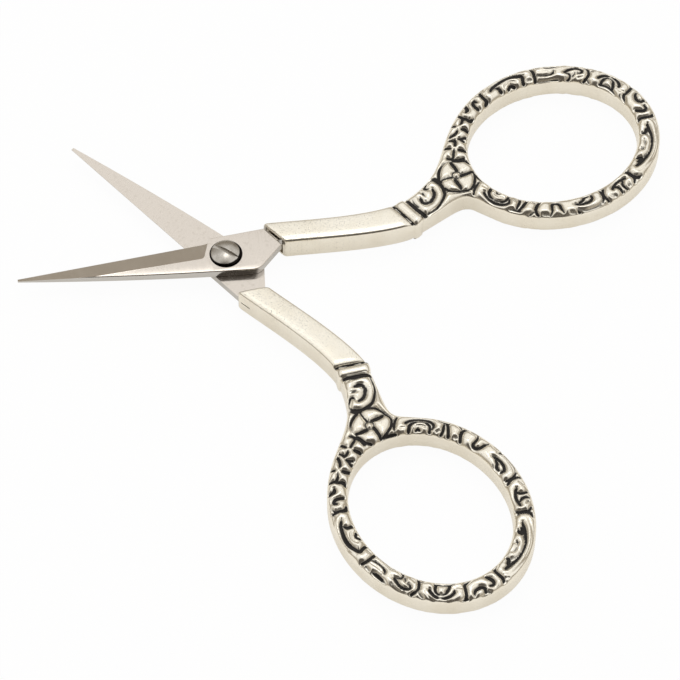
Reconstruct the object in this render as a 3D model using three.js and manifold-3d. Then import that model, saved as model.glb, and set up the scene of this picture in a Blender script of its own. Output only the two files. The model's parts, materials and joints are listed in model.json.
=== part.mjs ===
// Embroidery scissors with hollow silver handles.
//
// Two like halves, one turned over, cross at a slotted screw. Each half is a forged steel blade whose thin
// tang is cemented into a hollow handle, and each handle is two pressed shells soldered edge to edge.
//
// A half is drawn closed, in its own frame, in millimetres: the pivot is the origin, the blade points
// along -X, the finger ring lies towards +X and +Y, and the two blades meet on the plane z = 0.

import * as THREE from "three";
import { mergeVertices } from "three/addons/utils/BufferGeometryUtils.js";
import Module from "manifold-3d";

const wasm = await Module();
wasm.setup();

// Driving dimensions, in millimetres and degrees
const OPENING_ANGLE = 48.6; // between the two blades as the scissors lie
const BLADE_LENGTH = 31.8; // pivot to tip
const BLADE_THICKNESS = 1.4;
const BLADE_TIP_WIDTH = 0.45;
const BLADE_TIP_HEIGHT = 0.15; // of the middle of the tip above the closed centre line
const BLADE_RUNNING_GAP = 0.03; // from the meeting plane to each blade's flat inner face
const GRIND_WIDTH = 3.2; // of the ground slope behind the cutting edge
const CUTTING_EDGE_THICKNESS = 0.12;
const GRIND_CORNER_RADIUS = 0.9; // where the grinding wheel ran out at the boss
const GRIND_OVERRUN = 0.02; // of the wheel past the ridge

const BOSS_EDGE_HEIGHT = 3.45; // pivot to the boss's corner on the cutting side, across the blade
const BOSS_EDGE_REACH = 2.6; // pivot to that corner, along the blade
const BOSS_SPINE_HEIGHT = 3.4; // pivot to the heel, across the blade
const BOSS_HEEL_REACH = 4.7; // pivot to the heel, along the blade
const BOSS_HEEL_RADIUS = 0.9;
const SPINE_SAG_REACH = 12; // where the spine's curve is drawn to, along the blade
const SPINE_SAG_HEIGHT = 2.55; // and across it

const SCREW_SHANK_RADIUS = 1.25;
const SCREW_RUNNING_GAP = 0.06;
const SCREW_HEAD_RADIUS = 2.3;
const SCREW_HEAD_RIM = 0.3; // of the head's straight side above the blade
const SCREW_DOME_HEIGHT = 0.62;
const SCREW_SLOT_WIDTH = 0.62;
const SCREW_SLOT_DEPTH = 0.6;
const SCREW_SLOT_ANGLE = -14; // as the screw was last tightened
const SCREW_END_PROUD = 0.12; // of the peened end below the rear blade
const COUNTERBORE_GAP = 0.2; // round the head
const COUNTERBORE_DEPTH = 0.45;
const COUNTERBORE_SEAT_GAP = 0.05; // under the head

const MOUTH_REACH = 7.7; // pivot to the middle of the handle's mouth, along the blade
const MOUTH_HEIGHT = 2.5; // and across it
const MOUTH_SLANT = 35; // of the mouth and the collar, off square
const MOUTH_GAP = 0.3; // from the steel shoulder to the mouth
const SHOULDER_STEP = 0.35; // of the steel inside the shank's sides
const SHANK_LENGTH = 20.85; // mouth to collar
const SHANK_RISE = 0.95; // of the collar above the mouth
const SHANK_WIDTH = 3.95;
const SHANK_THICKNESS = 4.6;
const SHANK_EDGE_RADIUS = 0.4;
const SHANK_BEND = 20.6; // heading of the shank's sides where they reach the collar
const SHANK_BEND_REACH = 5.3; // how far back from the collar the bend is felt

const COLLAR_WIDTH = 1.9;
const COLLAR_PROUD = 0.3; // beyond the shank's sides
const COLLAR_EDGE_RADIUS = 0.4;

const NECK_REACH = 9.9; // collar to the nearest point of the finger ring
const NECK_HEADING = 23.7; // from the collar to the middle of the ring
const NECK_OUTER_HEADING = 27.7; // of the neck's outer side where it leaves the collar
const NECK_INNER_HEADING = 28; // of its inner side
const NECK_OUTER_FLARE = 10.4; // length of the outer side's blend at the collar
const NECK_INNER_FLARE = 10.4;
const RING_BORE_LENGTH = 26.85;
const RING_BORE_WIDTH = 22.35;
const RING_BORE_SHIFT = 0.2; // of the bore towards the collar, from the middle of the ring
const RING_END_BAND = 3.28; // mean width of the ring at its two ends
const RING_SIDE_BAND = 3.18; // and at its two sides
const RING_TILT = 11.1; // of the ring's long axis
const RING_THICKNESS = 4.8;
const RING_EDGE_RADIUS = 0.75;
const RING_OUTER_BLEND = 133.5; // where the neck's outer side meets the ring, round it from its long axis
const RING_INNER_BLEND = 219; // where its inner side does
const RING_OUTER_FLARE = 9.1; // length of the outer side's blend at the ring
const RING_INNER_FLARE = 6.1;

const SHELL_WALL = 0.55;
const HOLLOW_EDGE_RADIUS = 0.2;
const TANG_LENGTH = 14; // inside the handle
const TANG_ROOT_LAP = 1; // how far its root runs back into the boss
const TANG_SIDE_ROOM = 0.35; // cement at each side of the tang
const TANG_FACE_ROOM = 0.3; // cement over the tang's face
const TANG_TAPER = 0.25; // lost from each side by the tang's end
const CEMENT_LENGTH = 16.5; // from the mouth
const CEMENT_FIT_GAP = 0.1;

// Facets
const ROUND_SIDES = 32;
const RING_STEPS = 44;
const CURVE_STEPS = 7;
const FILLET_STEPS = 4;
const DOME_STEPS = 4;
const EDGE_STEPS = 2;
const CUT_MARGIN = 2; // how far a cutting solid runs past what it cuts

const STEEL = new THREE.MeshStandardMaterial({ color: 0xd6cfc8, metalness: 1, roughness: 0.28 });
const SCREW_STEEL = new THREE.MeshStandardMaterial({ color: 0x9a958c, metalness: 1, roughness: 0.3 });
const SILVER = new THREE.MeshStandardMaterial({ color: 0xe6dfcf, metalness: 1, roughness: 0.22 });
const CEMENT = new THREE.MeshStandardMaterial({ color: 0x4a4136, metalness: 0, roughness: 0.9 });

const radians = THREE.MathUtils.degToRad;
const point = (x, y) => new THREE.Vector2(x, y);
const heading = (degrees) => point(Math.cos(radians(degrees)), Math.sin(radians(degrees)));
const along = (from, direction, distance) => from.clone().addScaledVector(direction, distance);

// Solids: closed three.js geometry in and out of the boolean library
function solid(geometry) {
  const bare = geometry.clone();
  bare.deleteAttribute("normal");
  bare.deleteAttribute("uv");
  const merged = mergeVertices(bare);
  return new wasm.Manifold(
    new wasm.Mesh({
      numProp: 3,
      vertProperties: new Float32Array(merged.getAttribute("position").array),
      triVerts: new Uint32Array(merged.index.array),
    }),
  );
}

function geometryOf(made) {
  const { vertProperties, triVerts, numProp, numVert } = made.getMesh();
  const places = new Float32Array(numVert * 3);
  for (let i = 0; i < numVert; i++) {
    places.set(vertProperties.subarray(i * numProp, i * numProp + 3), i * 3);
  }
  const geometry = new THREE.BufferGeometry();
  geometry.setAttribute("position", new THREE.BufferAttribute(places, 3));
  geometry.setIndex(new THREE.BufferAttribute(new Uint32Array(triVerts), 1));
  geometry.computeVertexNormals();
  return geometry;
}

// A straight-sided plate of an outline between two heights
function plate(outline, low, high) {
  const straight = { depth: high - low, bevelEnabled: false };
  const geometry = new THREE.ExtrudeGeometry(new THREE.Shape(outline), straight);
  return solid(geometry.translate(0, 0, low));
}

// A plate with rounded rims, centred on z = 0, drawn in from its outline by an inset
function roundedPlate(outline, bore, thickness, rim, inset = 0) {
  const shape = new THREE.Shape(outline);
  if (bore) shape.holes.push(new THREE.Path(bore));
  const flatDepth = thickness - 2 * rim;
  const geometry = new THREE.ExtrudeGeometry(shape, {
    depth: flatDepth,
    bevelThickness: rim,
    bevelSize: rim,
    bevelOffset: -rim - inset,
    bevelSegments: EDGE_STEPS,
  });
  return solid(geometry.translate(0, 0, -flatDepth / 2));
}

function upright(radius, low, high) {
  const geometry = new THREE.CylinderGeometry(radius, radius, high - low, ROUND_SIDES);
  return solid(geometry.rotateX(Math.PI / 2).translate(0, 0, (low + high) / 2));
}

function bezier(start, startHeading, startReach, endHeading, endReach, end) {
  const curve = new THREE.CubicBezierCurve(
    start,
    along(start, startHeading, startReach),
    along(end, endHeading, -endReach),
    end,
  );
  return curve.getPoints(CURVE_STEPS);
}

// A corner rounded off by an arc's worth of points
function fillet(before, corner, after, radius) {
  const back = before.clone().sub(corner).normalize();
  const ahead = after.clone().sub(corner).normalize();
  const halfAngle = Math.acos(back.dot(ahead)) / 2;
  const reach = radius / Math.tan(halfAngle);
  const start = along(corner, back, reach);
  const end = along(corner, ahead, reach);
  return new THREE.QuadraticBezierCurve(start, corner, end).getPoints(FILLET_STEPS);
}

// The slanted cut shared by the mouth and the collar, and the way into the handle square to it
const CUT_ALONG = heading(MOUTH_SLANT - 90);
const CUT_INWARD = heading(MOUTH_SLANT);
const CUT_HALF = SHANK_WIDTH / 2 / Math.cos(radians(MOUTH_SLANT));
const MOUTH = point(MOUTH_REACH, MOUTH_HEIGHT);
const COLLAR = point(MOUTH_REACH + SHANK_LENGTH, MOUTH_HEIGHT + SHANK_RISE);
const MOUTH_OUTER = along(MOUTH, CUT_ALONG, -CUT_HALF);
const MOUTH_INNER = along(MOUTH, CUT_ALONG, CUT_HALF);
const COLLAR_OUTER = along(COLLAR, CUT_ALONG, -CUT_HALF);
const COLLAR_INNER = along(COLLAR, CUT_ALONG, CUT_HALF);
const ALONG_BLADE = heading(0);
const BEND = heading(SHANK_BEND);

// The finger ring: its bore and, one band wider, its outside
const OUTER_HALF_LENGTH = RING_BORE_LENGTH / 2 + RING_END_BAND;
const OUTER_HALF_WIDTH = RING_BORE_WIDTH / 2 + RING_SIDE_BAND;
const RING_CENTRE = ringCentre();

function ringCentre() {
  const off = radians(NECK_HEADING - RING_TILT);
  const radius = 1 / Math.hypot(Math.cos(off) / OUTER_HALF_LENGTH, Math.sin(off) / OUTER_HALF_WIDTH);
  return along(COLLAR, heading(NECK_HEADING), NECK_REACH + radius);
}

function ellipsePoint(halfLength, halfWidth, degrees) {
  const at = heading(degrees).multiply(point(halfLength, halfWidth));
  return at.rotateAround(point(0, 0), radians(RING_TILT)).add(RING_CENTRE);
}

function ellipseRun(halfLength, halfWidth, from, to, steps) {
  return Array.from({ length: steps + 1 }, (_, i) =>
    ellipsePoint(halfLength, halfWidth, from + ((to - from) * i) / steps),
  );
}

// Direction of travel round the ring's outside, clockwise
function ringHeading(degrees) {
  const onward = heading(degrees - 90).multiply(point(OUTER_HALF_LENGTH, OUTER_HALF_WIDTH));
  return onward.normalize().rotateAround(point(0, 0), radians(RING_TILT));
}

// Outlines, clockwise from the mouth's outer corner round the ring and back
const shankSide = (mouthEnd, collarEnd) =>
  bezier(mouthEnd, ALONG_BLADE, SHANK_BEND_REACH, BEND, SHANK_BEND_REACH, collarEnd);
const shankOuterSide = shankSide(MOUTH_OUTER, COLLAR_OUTER);
const shankInnerSide = shankSide(MOUTH_INNER, COLLAR_INNER);
const neckOuterSide = bezier(
  COLLAR_OUTER,
  heading(NECK_OUTER_HEADING),
  NECK_OUTER_FLARE,
  ringHeading(RING_OUTER_BLEND),
  RING_OUTER_FLARE,
  ellipsePoint(OUTER_HALF_LENGTH, OUTER_HALF_WIDTH, RING_OUTER_BLEND),
);
const neckInnerSide = bezier(
  COLLAR_INNER,
  heading(NECK_INNER_HEADING),
  NECK_INNER_FLARE,
  ringHeading(RING_INNER_BLEND).negate(),
  RING_INNER_FLARE,
  ellipsePoint(OUTER_HALF_LENGTH, OUTER_HALF_WIDTH, RING_INNER_BLEND),
);
const ringOutside = ellipseRun(
  OUTER_HALF_LENGTH,
  OUTER_HALF_WIDTH,
  RING_OUTER_BLEND,
  RING_INNER_BLEND - 360,
  RING_STEPS,
);
const ringBore = ellipseRun(RING_BORE_LENGTH / 2, RING_BORE_WIDTH / 2, 0, 360, RING_STEPS)
  .slice(0, -1)
  .map((at) => along(at, heading(RING_TILT), -RING_BORE_SHIFT));

const shankReturn = [...shankInnerSide].reverse();
const neckReturn = [...neckInnerSide].reverse();
const shankOutline = [...shankOuterSide, ...shankReturn];
const neckAndRing = [...neckOuterSide.slice(0, -1), ...ringOutside.slice(0, -1), ...neckReturn];
const handleOutline = [...shankOuterSide.slice(0, -1), ...neckAndRing, ...shankReturn.slice(1)];

// The handle's outside: shank, neck and ring, with a collar over the joint between them
function handleOutside() {
  const collarHalf = CUT_HALF + COLLAR_PROUD;
  const corner = (sideways, lengthways) =>
    along(along(COLLAR, CUT_ALONG, sideways * collarHalf), CUT_INWARD, (lengthways * COLLAR_WIDTH) / 2);
  const collarOutline = [corner(-1, -1), corner(-1, 1), corner(1, 1), corner(1, -1)];
  const shank = roundedPlate(shankOutline, null, SHANK_THICKNESS, SHANK_EDGE_RADIUS);
  const ring = roundedPlate(neckAndRing, ringBore, RING_THICKNESS, RING_EDGE_RADIUS);
  const collar = roundedPlate(collarOutline, null, RING_THICKNESS, COLLAR_EDGE_RADIUS);
  return shank.add(ring).add(collar);
}

// The hollow left by the shell's wall, open at the mouth
function handleHollow() {
  const height = SHANK_THICKNESS - 2 * SHELL_WALL;
  const hollow = roundedPlate(handleOutline, ringBore, height, HOLLOW_EDGE_RADIUS, SHELL_WALL);
  const mouthHalf = CUT_HALF - SHELL_WALL / Math.cos(radians(MOUTH_SLANT));
  const side = (sideways) => along(MOUTH, CUT_ALONG, sideways * mouthHalf);
  const opening = [
    along(side(-1), ALONG_BLADE, -CUT_MARGIN),
    along(side(-1), ALONG_BLADE, CUT_MARGIN),
    along(side(1), ALONG_BLADE, CUT_MARGIN),
    along(side(1), ALONG_BLADE, -CUT_MARGIN),
  ];
  return hollow.add(plate(opening, -height / 2, height / 2));
}

// The two pressings, parted on the plane where the blades meet
function handleShells() {
  const wall = handleOutside().subtract(handleHollow());
  const reach = 2 * (RING_CENTRE.length() + OUTER_HALF_LENGTH);
  const pressing = (up) => {
    const side = new THREE.BoxGeometry(reach, reach, RING_THICKNESS);
    side.translate(0, 0, (up * RING_THICKNESS) / 2);
    return geometryOf(wall.intersect(solid(side)));
  };
  return { upper: pressing(1), lower: pressing(-1) };
}

// Where the tang runs: from inside the boss, through the mouth, to its tapered end
function tangOutline(room) {
  const shankHalf = SHANK_WIDTH / 2 - SHELL_WALL - CEMENT_FIT_GAP - TANG_SIDE_ROOM;
  const half = shankHalf / Math.cos(radians(MOUTH_SLANT));
  const endHalf = shankHalf - TANG_TAPER + room;
  const end = along(MOUTH, ALONG_BLADE, TANG_LENGTH + room);
  const root = (sideways) => {
    const atMouth = along(MOUTH, CUT_ALONG, sideways * (half + room));
    return along(atMouth, ALONG_BLADE, -MOUTH_GAP - TANG_ROOT_LAP);
  };
  return [root(-1), point(end.x, end.y + endHalf), point(end.x, end.y - endHalf), root(1)];
}

function tangFace() {
  const cavityFace = SHANK_THICKNESS / 2 - SHELL_WALL - CEMENT_FIT_GAP;
  return Math.min(BLADE_RUNNING_GAP + BLADE_THICKNESS, cavityFace - TANG_FACE_ROOM);
}

// The forged blade: tip, ground edge, boss, shoulder and tang
function bladeOutline() {
  const tip = point(-BLADE_LENGTH, BLADE_TIP_HEIGHT);
  const edgeTip = point(tip.x, tip.y + BLADE_TIP_WIDTH / 2);
  const spineTip = point(tip.x, tip.y - BLADE_TIP_WIDTH / 2);
  const bossCorner = point(-BOSS_EDGE_REACH, BOSS_EDGE_HEIGHT);
  const heel = point(BOSS_HEEL_REACH, -BOSS_SPINE_HEIGHT);
  const shoulder = (sideways) => {
    const reach = CUT_HALF - SHOULDER_STEP / Math.cos(radians(MOUTH_SLANT));
    return along(along(MOUTH, CUT_INWARD, -MOUTH_GAP), CUT_ALONG, sideways * reach);
  };
  const spineControl = point(-SPINE_SAG_REACH, -SPINE_SAG_HEIGHT);
  const heelRound = fillet(spineControl, heel, shoulder(1), BOSS_HEEL_RADIUS);
  const spine = new THREE.QuadraticBezierCurve(spineTip, spineControl, heelRound[0]).getPoints(CURVE_STEPS);
  return [edgeTip, ...spine.slice(0, -1), ...heelRound, shoulder(1), shoulder(-1), bossCorner];
}

// The slope that the wheel ground off: its floor rises from the cutting edge to the blade's outer face
function grindCutter() {
  const edgeTip = point(-BLADE_LENGTH, BLADE_TIP_HEIGHT + BLADE_TIP_WIDTH / 2);
  const bossCorner = point(-BOSS_EDGE_REACH, BOSS_EDGE_HEIGHT);
  const edge = bossCorner.clone().sub(edgeTip);
  const rise = (BLADE_THICKNESS - CUTTING_EDGE_THICKNESS) / GRIND_WIDTH;
  const behind = -GRIND_WIDTH - GRIND_OVERRUN;
  const outerCorner = point(0, CUT_MARGIN);
  const innerCorner = point(0, behind);
  const runOut = fillet(outerCorner, innerCorner, point(-edge.length(), behind), GRIND_CORNER_RADIUS);
  const outline = [
    outerCorner,
    point(-edge.length() - CUT_MARGIN, CUT_MARGIN),
    point(-edge.length() - CUT_MARGIN, behind),
    ...runOut.reverse(),
  ];
  const geometry = new THREE.ExtrudeGeometry(new THREE.Shape(outline), {
    depth: 2 * BLADE_THICKNESS,
    bevelEnabled: false,
  });
  const floor = BLADE_RUNNING_GAP + CUTTING_EDGE_THICKNESS;
  geometry.applyMatrix4(new THREE.Matrix4().set(1, 0, 0, 0, 0, 1, 0, 0, 0, -rise, 1, floor, 0, 0, 0, 1));
  geometry.rotateZ(edge.angle()).translate(bossCorner.x, bossCorner.y, 0);
  return solid(geometry);
}

function blade(isFront) {
  const face = BLADE_RUNNING_GAP + BLADE_THICKNESS;
  let made = plate(bladeOutline(), BLADE_RUNNING_GAP, face)
    .add(plate(tangOutline(0), BLADE_RUNNING_GAP, tangFace()))
    .subtract(grindCutter())
    .subtract(upright(SCREW_SHANK_RADIUS + SCREW_RUNNING_GAP, -CUT_MARGIN, face + CUT_MARGIN));
  if (isFront) {
    const counterbore = SCREW_HEAD_RADIUS + COUNTERBORE_GAP;
    made = made.subtract(upright(counterbore, face - COUNTERBORE_DEPTH, face + CUT_MARGIN));
  }
  return geometryOf(made);
}

// The cement that fills the shank round the tang
function cement() {
  const inset = SHELL_WALL + CEMENT_FIT_GAP;
  const height = SHANK_THICKNESS - 2 * inset;
  const filled = roundedPlate(handleOutline, ringBore, height, HOLLOW_EDGE_RADIUS, inset);
  const cut = (reach) => [
    along(along(MOUTH, ALONG_BLADE, reach), CUT_ALONG, -2 * CUT_HALF),
    along(along(MOUTH, ALONG_BLADE, reach), CUT_ALONG, 2 * CUT_HALF),
  ];
  const stretch = [...cut(-CUT_MARGIN), ...cut(CEMENT_LENGTH).reverse()];
  const roomLow = BLADE_RUNNING_GAP - CEMENT_FIT_GAP;
  const room = plate(tangOutline(CEMENT_FIT_GAP), roomLow, tangFace() + CEMENT_FIT_GAP);
  return geometryOf(filled.intersect(plate(stretch, -height, height)).subtract(room));
}

// The screw: peened end, shank, head seated in the counterbore, slotted dome
function pivotScrew() {
  const face = BLADE_RUNNING_GAP + BLADE_THICKNESS;
  const seat = face - COUNTERBORE_DEPTH + COUNTERBORE_SEAT_GAP;
  const rim = face + SCREW_HEAD_RIM;
  const end = -face - SCREW_END_PROUD;
  const crown = rim + SCREW_DOME_HEIGHT;
  const domeRadius = (SCREW_HEAD_RADIUS ** 2 + SCREW_DOME_HEIGHT ** 2) / (2 * SCREW_DOME_HEIGHT);
  const domeSpan = Math.asin(SCREW_HEAD_RADIUS / domeRadius);
  const dome = Array.from({ length: DOME_STEPS }, (_, i) => {
    const lean = domeSpan * (1 - i / DOME_STEPS);
    return point(domeRadius * Math.sin(lean), crown - domeRadius * (1 - Math.cos(lean)));
  });
  const profile = [
    point(0, end),
    point(SCREW_SHANK_RADIUS - SCREW_END_PROUD, end),
    point(SCREW_SHANK_RADIUS, end + SCREW_END_PROUD),
    point(SCREW_SHANK_RADIUS, seat),
    point(SCREW_HEAD_RADIUS, seat),
    ...dome,
    point(0, crown),
  ];
  const turned = solid(new THREE.LatheGeometry(profile, ROUND_SIDES).rotateX(Math.PI / 2));
  const slotLength = 2 * SCREW_HEAD_RADIUS + CUT_MARGIN;
  const slot = new THREE.BoxGeometry(slotLength, SCREW_SLOT_WIDTH, 2 * SCREW_SLOT_DEPTH)
    .rotateZ(radians(SCREW_SLOT_ANGLE))
    .translate(0, 0, crown);
  return geometryOf(turned.subtract(solid(slot)));
}

// Assembly
function piece(name, geometry, material) {
  const mesh = new THREE.Mesh(geometry, material);
  mesh.name = name;
  return mesh;
}

const shells = handleShells();
const cementFill = cement();

// The obverse shell is the one that faces up as the scissors lie
function halfOfScissors(name, isFront) {
  const half = new THREE.Group();
  const [upperFace, lowerFace] = isFront ? ["obverse", "reverse"] : ["reverse", "obverse"];
  half.add(
    piece(`${name}_blade`, blade(isFront), STEEL),
    piece(`${name}_handle_${upperFace}_shell`, shells.upper, SILVER),
    piece(`${name}_handle_${lowerFace}_shell`, shells.lower, SILVER),
    piece(`${name}_tang_cement`, cementFill, CEMENT),
  );
  return half;
}

const frontHalf = halfOfScissors("front", true);
frontHalf.rotation.z = radians(OPENING_ANGLE / 2);

const rearHalf = new THREE.Group();
const turnedOver = halfOfScissors("rear", false);
turnedOver.rotation.x = Math.PI;
rearHalf.add(turnedOver);
rearHalf.rotation.z = radians(-OPENING_ANGLE / 2);

const assembly = new THREE.Group();
assembly.add(frontHalf, rearHalf, piece("pivot_screw", pivotScrew(), SCREW_STEEL));

// The origin is the middle of the underside of the box round the open scissors
const box = new THREE.Box3().setFromObject(assembly, true);
const middle = box.getCenter(new THREE.Vector3());
assembly.position.set(-middle.x, -middle.y, -box.min.z);

const scissors = new THREE.Group();
scissors.name = "embroidery_scissors";
scissors.add(assembly);

export default scissors;
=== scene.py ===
# %% [markdown]
# # Embroidery scissors with chased silver handles
# Two like halves cross at a slotted screw. Each half is a steel blade cemented into a hollow silver handle,
# and each handle is two pressed shells soldered edge to edge. The imported solids give every place and size,
# so the first step is to load them.

# %% Load the imported solids
import json
import math

import bmesh
import bpy
import numpy as np
from mathutils import Matrix, Vector
from mathutils.kdtree import KDTree


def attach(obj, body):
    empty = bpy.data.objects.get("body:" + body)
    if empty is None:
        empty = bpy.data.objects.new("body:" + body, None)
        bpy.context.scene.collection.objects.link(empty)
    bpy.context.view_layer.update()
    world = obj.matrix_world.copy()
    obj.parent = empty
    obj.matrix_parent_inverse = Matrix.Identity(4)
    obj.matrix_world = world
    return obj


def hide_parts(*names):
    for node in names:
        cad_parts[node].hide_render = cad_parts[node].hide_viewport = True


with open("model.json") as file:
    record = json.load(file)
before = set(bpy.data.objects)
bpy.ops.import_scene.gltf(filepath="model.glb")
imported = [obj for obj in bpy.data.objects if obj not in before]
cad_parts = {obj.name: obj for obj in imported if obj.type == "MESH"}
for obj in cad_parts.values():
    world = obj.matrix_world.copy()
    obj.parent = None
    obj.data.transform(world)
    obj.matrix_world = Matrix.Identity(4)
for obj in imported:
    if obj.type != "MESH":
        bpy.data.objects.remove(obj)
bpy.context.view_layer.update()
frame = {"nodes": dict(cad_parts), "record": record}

pivot = Vector(frame["record"]["behaviour"]["joints"][0]["pos_m"])
print("solids", sorted(frame["nodes"]), "pivot", [round(x, 5) for x in pivot])

# %% [markdown]
# ## Camera and studio
# The photograph looks down on the scissors with a long lens, so the near ring is only a little larger than
# the far one. The camera is placed by its direction, distance and aim point. Polished metal is a picture of
# what stands round it, so the room matters more than the lamps: a pale floor, a bright tent overhead, and a
# darker side behind the camera that draws the thin dark lines along the near edges. A picture of a real
# studio could stand in for the room, but a few colours by direction are easier to steer.

# %% Camera
CAMERA_AZIMUTH, CAMERA_ELEVATION, CAMERA_DISTANCE = 16.61, 56.82, 0.6223
CAMERA_AIM = pivot + Vector((0.0208, -0.00914, 0))
CAMERA_LENS, CAMERA_SENSOR, CAMERA_CLIP = 219.3, 36.0, 0.01


def show(name, data):
    """A new object in the scene."""
    made = bpy.data.objects.new(name, data)
    bpy.context.scene.collection.objects.link(made)
    return made


def direction(azimuth, elevation):
    """The way from the object to a place seen at that azimuth and elevation, in degrees."""
    a, e = math.radians(azimuth), math.radians(elevation)
    return Vector((math.sin(a) * math.cos(e), -math.cos(a) * math.cos(e), math.sin(e)))


def look(name, data, azimuth, elevation, distance, aim):
    """A new camera or lamp, turned to the aim point."""
    made, back = show(name, data), direction(azimuth, elevation)
    made.location = aim + back * distance
    made.rotation_mode = "QUATERNION"
    made.rotation_quaternion = (-back).to_track_quat("-Z", "Y")
    return made


lens = bpy.data.cameras.new("photograph")
lens.lens, lens.sensor_width, lens.clip_start = CAMERA_LENS, CAMERA_SENSOR, CAMERA_CLIP
camera = look("photograph", lens, CAMERA_AZIMUTH, CAMERA_ELEVATION, CAMERA_DISTANCE, CAMERA_AIM)
bpy.context.scene.camera = camera
bpy.context.scene.view_settings.view_transform = "Standard"
print("camera at", [round(x, 4) for x in camera.location])


# %% A short way to add nodes
class Wiring:
    """Adds nodes to a tree. What a method returns can be fed into the next node."""

    def __init__(self, tree):
        self.tree = tree

    def node(self, kind, inputs=(), out=0, **settings):
        """Sets a new node's options, links or fills its inputs, and returns one of its outputs."""
        made = self.tree.nodes.new(kind)
        for name, value in settings.items():
            setattr(made, name, value)
        for key, value in inputs.items() if isinstance(inputs, dict) else enumerate(inputs):
            if isinstance(value, bpy.types.NodeSocket):
                self.tree.links.new(value, made.inputs[key])
            else:
                made.inputs[key].default_value = value
        return made.outputs[out] if made.outputs else None

    def sums(self, operation, *inputs, clamp=False):
        return self.node("ShaderNodeMath", inputs, operation=operation, use_clamp=clamp)

    def less(self, first, second):
        return self.sums("SUBTRACT", first, second)

    def times(self, first, second):
        return self.sums("MULTIPLY", first, second)

    def most(self, first, second):
        return self.sums("MAXIMUM", first, second)

    def total(self, shares, *values):
        """The first share, plus each value times its own one."""
        made, *rest = shares
        for value, share in zip(values, rest):
            made = self.sums("ADD", made, self.times(value, share))
        return made

    def vector(self, operation, *inputs):
        """Vector sums. A dot product, distance or length comes out as a number."""
        out = "Value" if operation in ("DOT_PRODUCT", "DISTANCE", "LENGTH") else "Vector"
        return self.node("ShaderNodeVectorMath", inputs, out, operation=operation)

    def split(self, vector):
        return self.node("ShaderNodeSeparateXYZ", [vector]).node.outputs

    def ramp(self, value, low, high, to_low=0.0, to_high=1.0):
        """A smooth rise from one level to another as the value goes from low to high."""
        inputs = {"Value": value, "From Min": low, "From Max": high, "To Min": to_low, "To Max": to_high}
        return self.node("ShaderNodeMapRange", inputs, interpolation_type="SMOOTHSTEP")

    def blend(self, share, first, second):
        """A mix of two colours."""
        return self.node("ShaderNodeMix", {0: share, 6: first, 7: second}, out=2, data_type="RGBA")


def emptied(owner):
    """The bare node tree of a material or of the world."""
    owner.use_nodes = True
    owner.node_tree.nodes.clear()
    return Wiring(owner.node_tree)


# %% Tent
WHITE = (1, 1, 1, 1)
TENT_LOW, TENT_TOP, TENT_FADE = (0.39, 0.345, 0.28, 1), (1.0, 0.98, 0.94, 1), (0.18, 0.76)
CAMERA_SIDE, SOFTBOX = (0.1, 0.088, 0.075, 1), (2.6, 2.55, 2.45, 1)
# A patch has its azimuth from the camera's, elevation, cosines where it starts and is full, and colour.
TENT_PATCHES = (-6, 34, 0.66, 0.87, CAMERA_SIDE), (180, 76, 0.982, 0.991, SOFTBOX)

world = bpy.data.worlds.new("light_tent")
bpy.context.scene.world = world
sky = emptied(world)
toward = sky.node("ShaderNodeTexCoord")
tent = sky.blend(sky.ramp(sky.split(toward)[2], *TENT_FADE), TENT_LOW, TENT_TOP)
for azimuth, elevation, edge, core, colour in TENT_PATCHES:
    nearness = sky.vector("DOT_PRODUCT", toward, direction(CAMERA_AZIMUTH + azimuth, elevation))
    tent = sky.blend(sky.ramp(nearness, edge, core), tent, colour)
rays = sky.node("ShaderNodeLightPath").node.outputs
glow = sky.node("ShaderNodeBackground", [sky.blend(rays["Is Camera Ray"], tent, WHITE), 1.0])
sky.node("ShaderNodeOutputWorld", [glow])
print("tent with", len(sky.tree.nodes), "nodes")

# %% Floor
FLOOR_DROP, FLOOR_HALF = 0.00005, 3.0
FLOOR_GLOW, FLOOR_MIRRORED = 0.96, 0.55
FLOOR_MATT, FLOOR_WARM = (0.9, 0.9, 0.9, 1), (1.0, 0.95, 0.86, 1)

floor_paint = bpy.data.materials.new("white_floor")
paint = emptied(floor_paint)
rays = paint.node("ShaderNodeLightPath").node.outputs
seen = paint.times(paint.most(rays["Is Camera Ray"], rays["Is Transmission Ray"]), FLOOR_GLOW)
seen = paint.most(seen, paint.times(rays["Is Glossy Ray"], FLOOR_MIRRORED))
matt = paint.node("ShaderNodeBsdfDiffuse", [FLOOR_MATT])
lit = paint.node("ShaderNodeEmission", [paint.blend(rays["Is Glossy Ray"], WHITE, FLOOR_WARM), 1.0])
paint.node("ShaderNodeOutputMaterial", [paint.node("ShaderNodeMixShader", [seen, matt, lit])])

floor_mesh = bpy.data.meshes.new("floor")
corners = [(x * FLOOR_HALF, y * FLOOR_HALF, -FLOOR_DROP) for x, y in ((-1, -1), (1, -1), (1, 1), (-1, 1))]
floor_mesh.from_pydata(corners, [], [(0, 1, 2, 3)])
floor_mesh.materials.append(floor_paint)
floor = show("floor", floor_mesh)
print("floor", 2 * FLOOR_HALF, "m wide,", FLOOR_DROP, "m below the scissors")

# %% Lamps
# A lamp has its azimuth, elevation, distance, size and power.
LAMPS = {"tent_roof": (190, 62, 0.55, 0.42, 0.55), "left_panel": (-75, 35, 0.5, 0.3, 0.3)}
for name, (azimuth, elevation, distance, size, power) in LAMPS.items():
    light = bpy.data.lights.new(name, "AREA")
    light.energy, light.size = power, size
    lamp = look(name, light, azimuth, elevation, distance, Vector((0, 0, 0)))
    lamp.visible_glossy = False
print("lamps", list(LAMPS))

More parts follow.
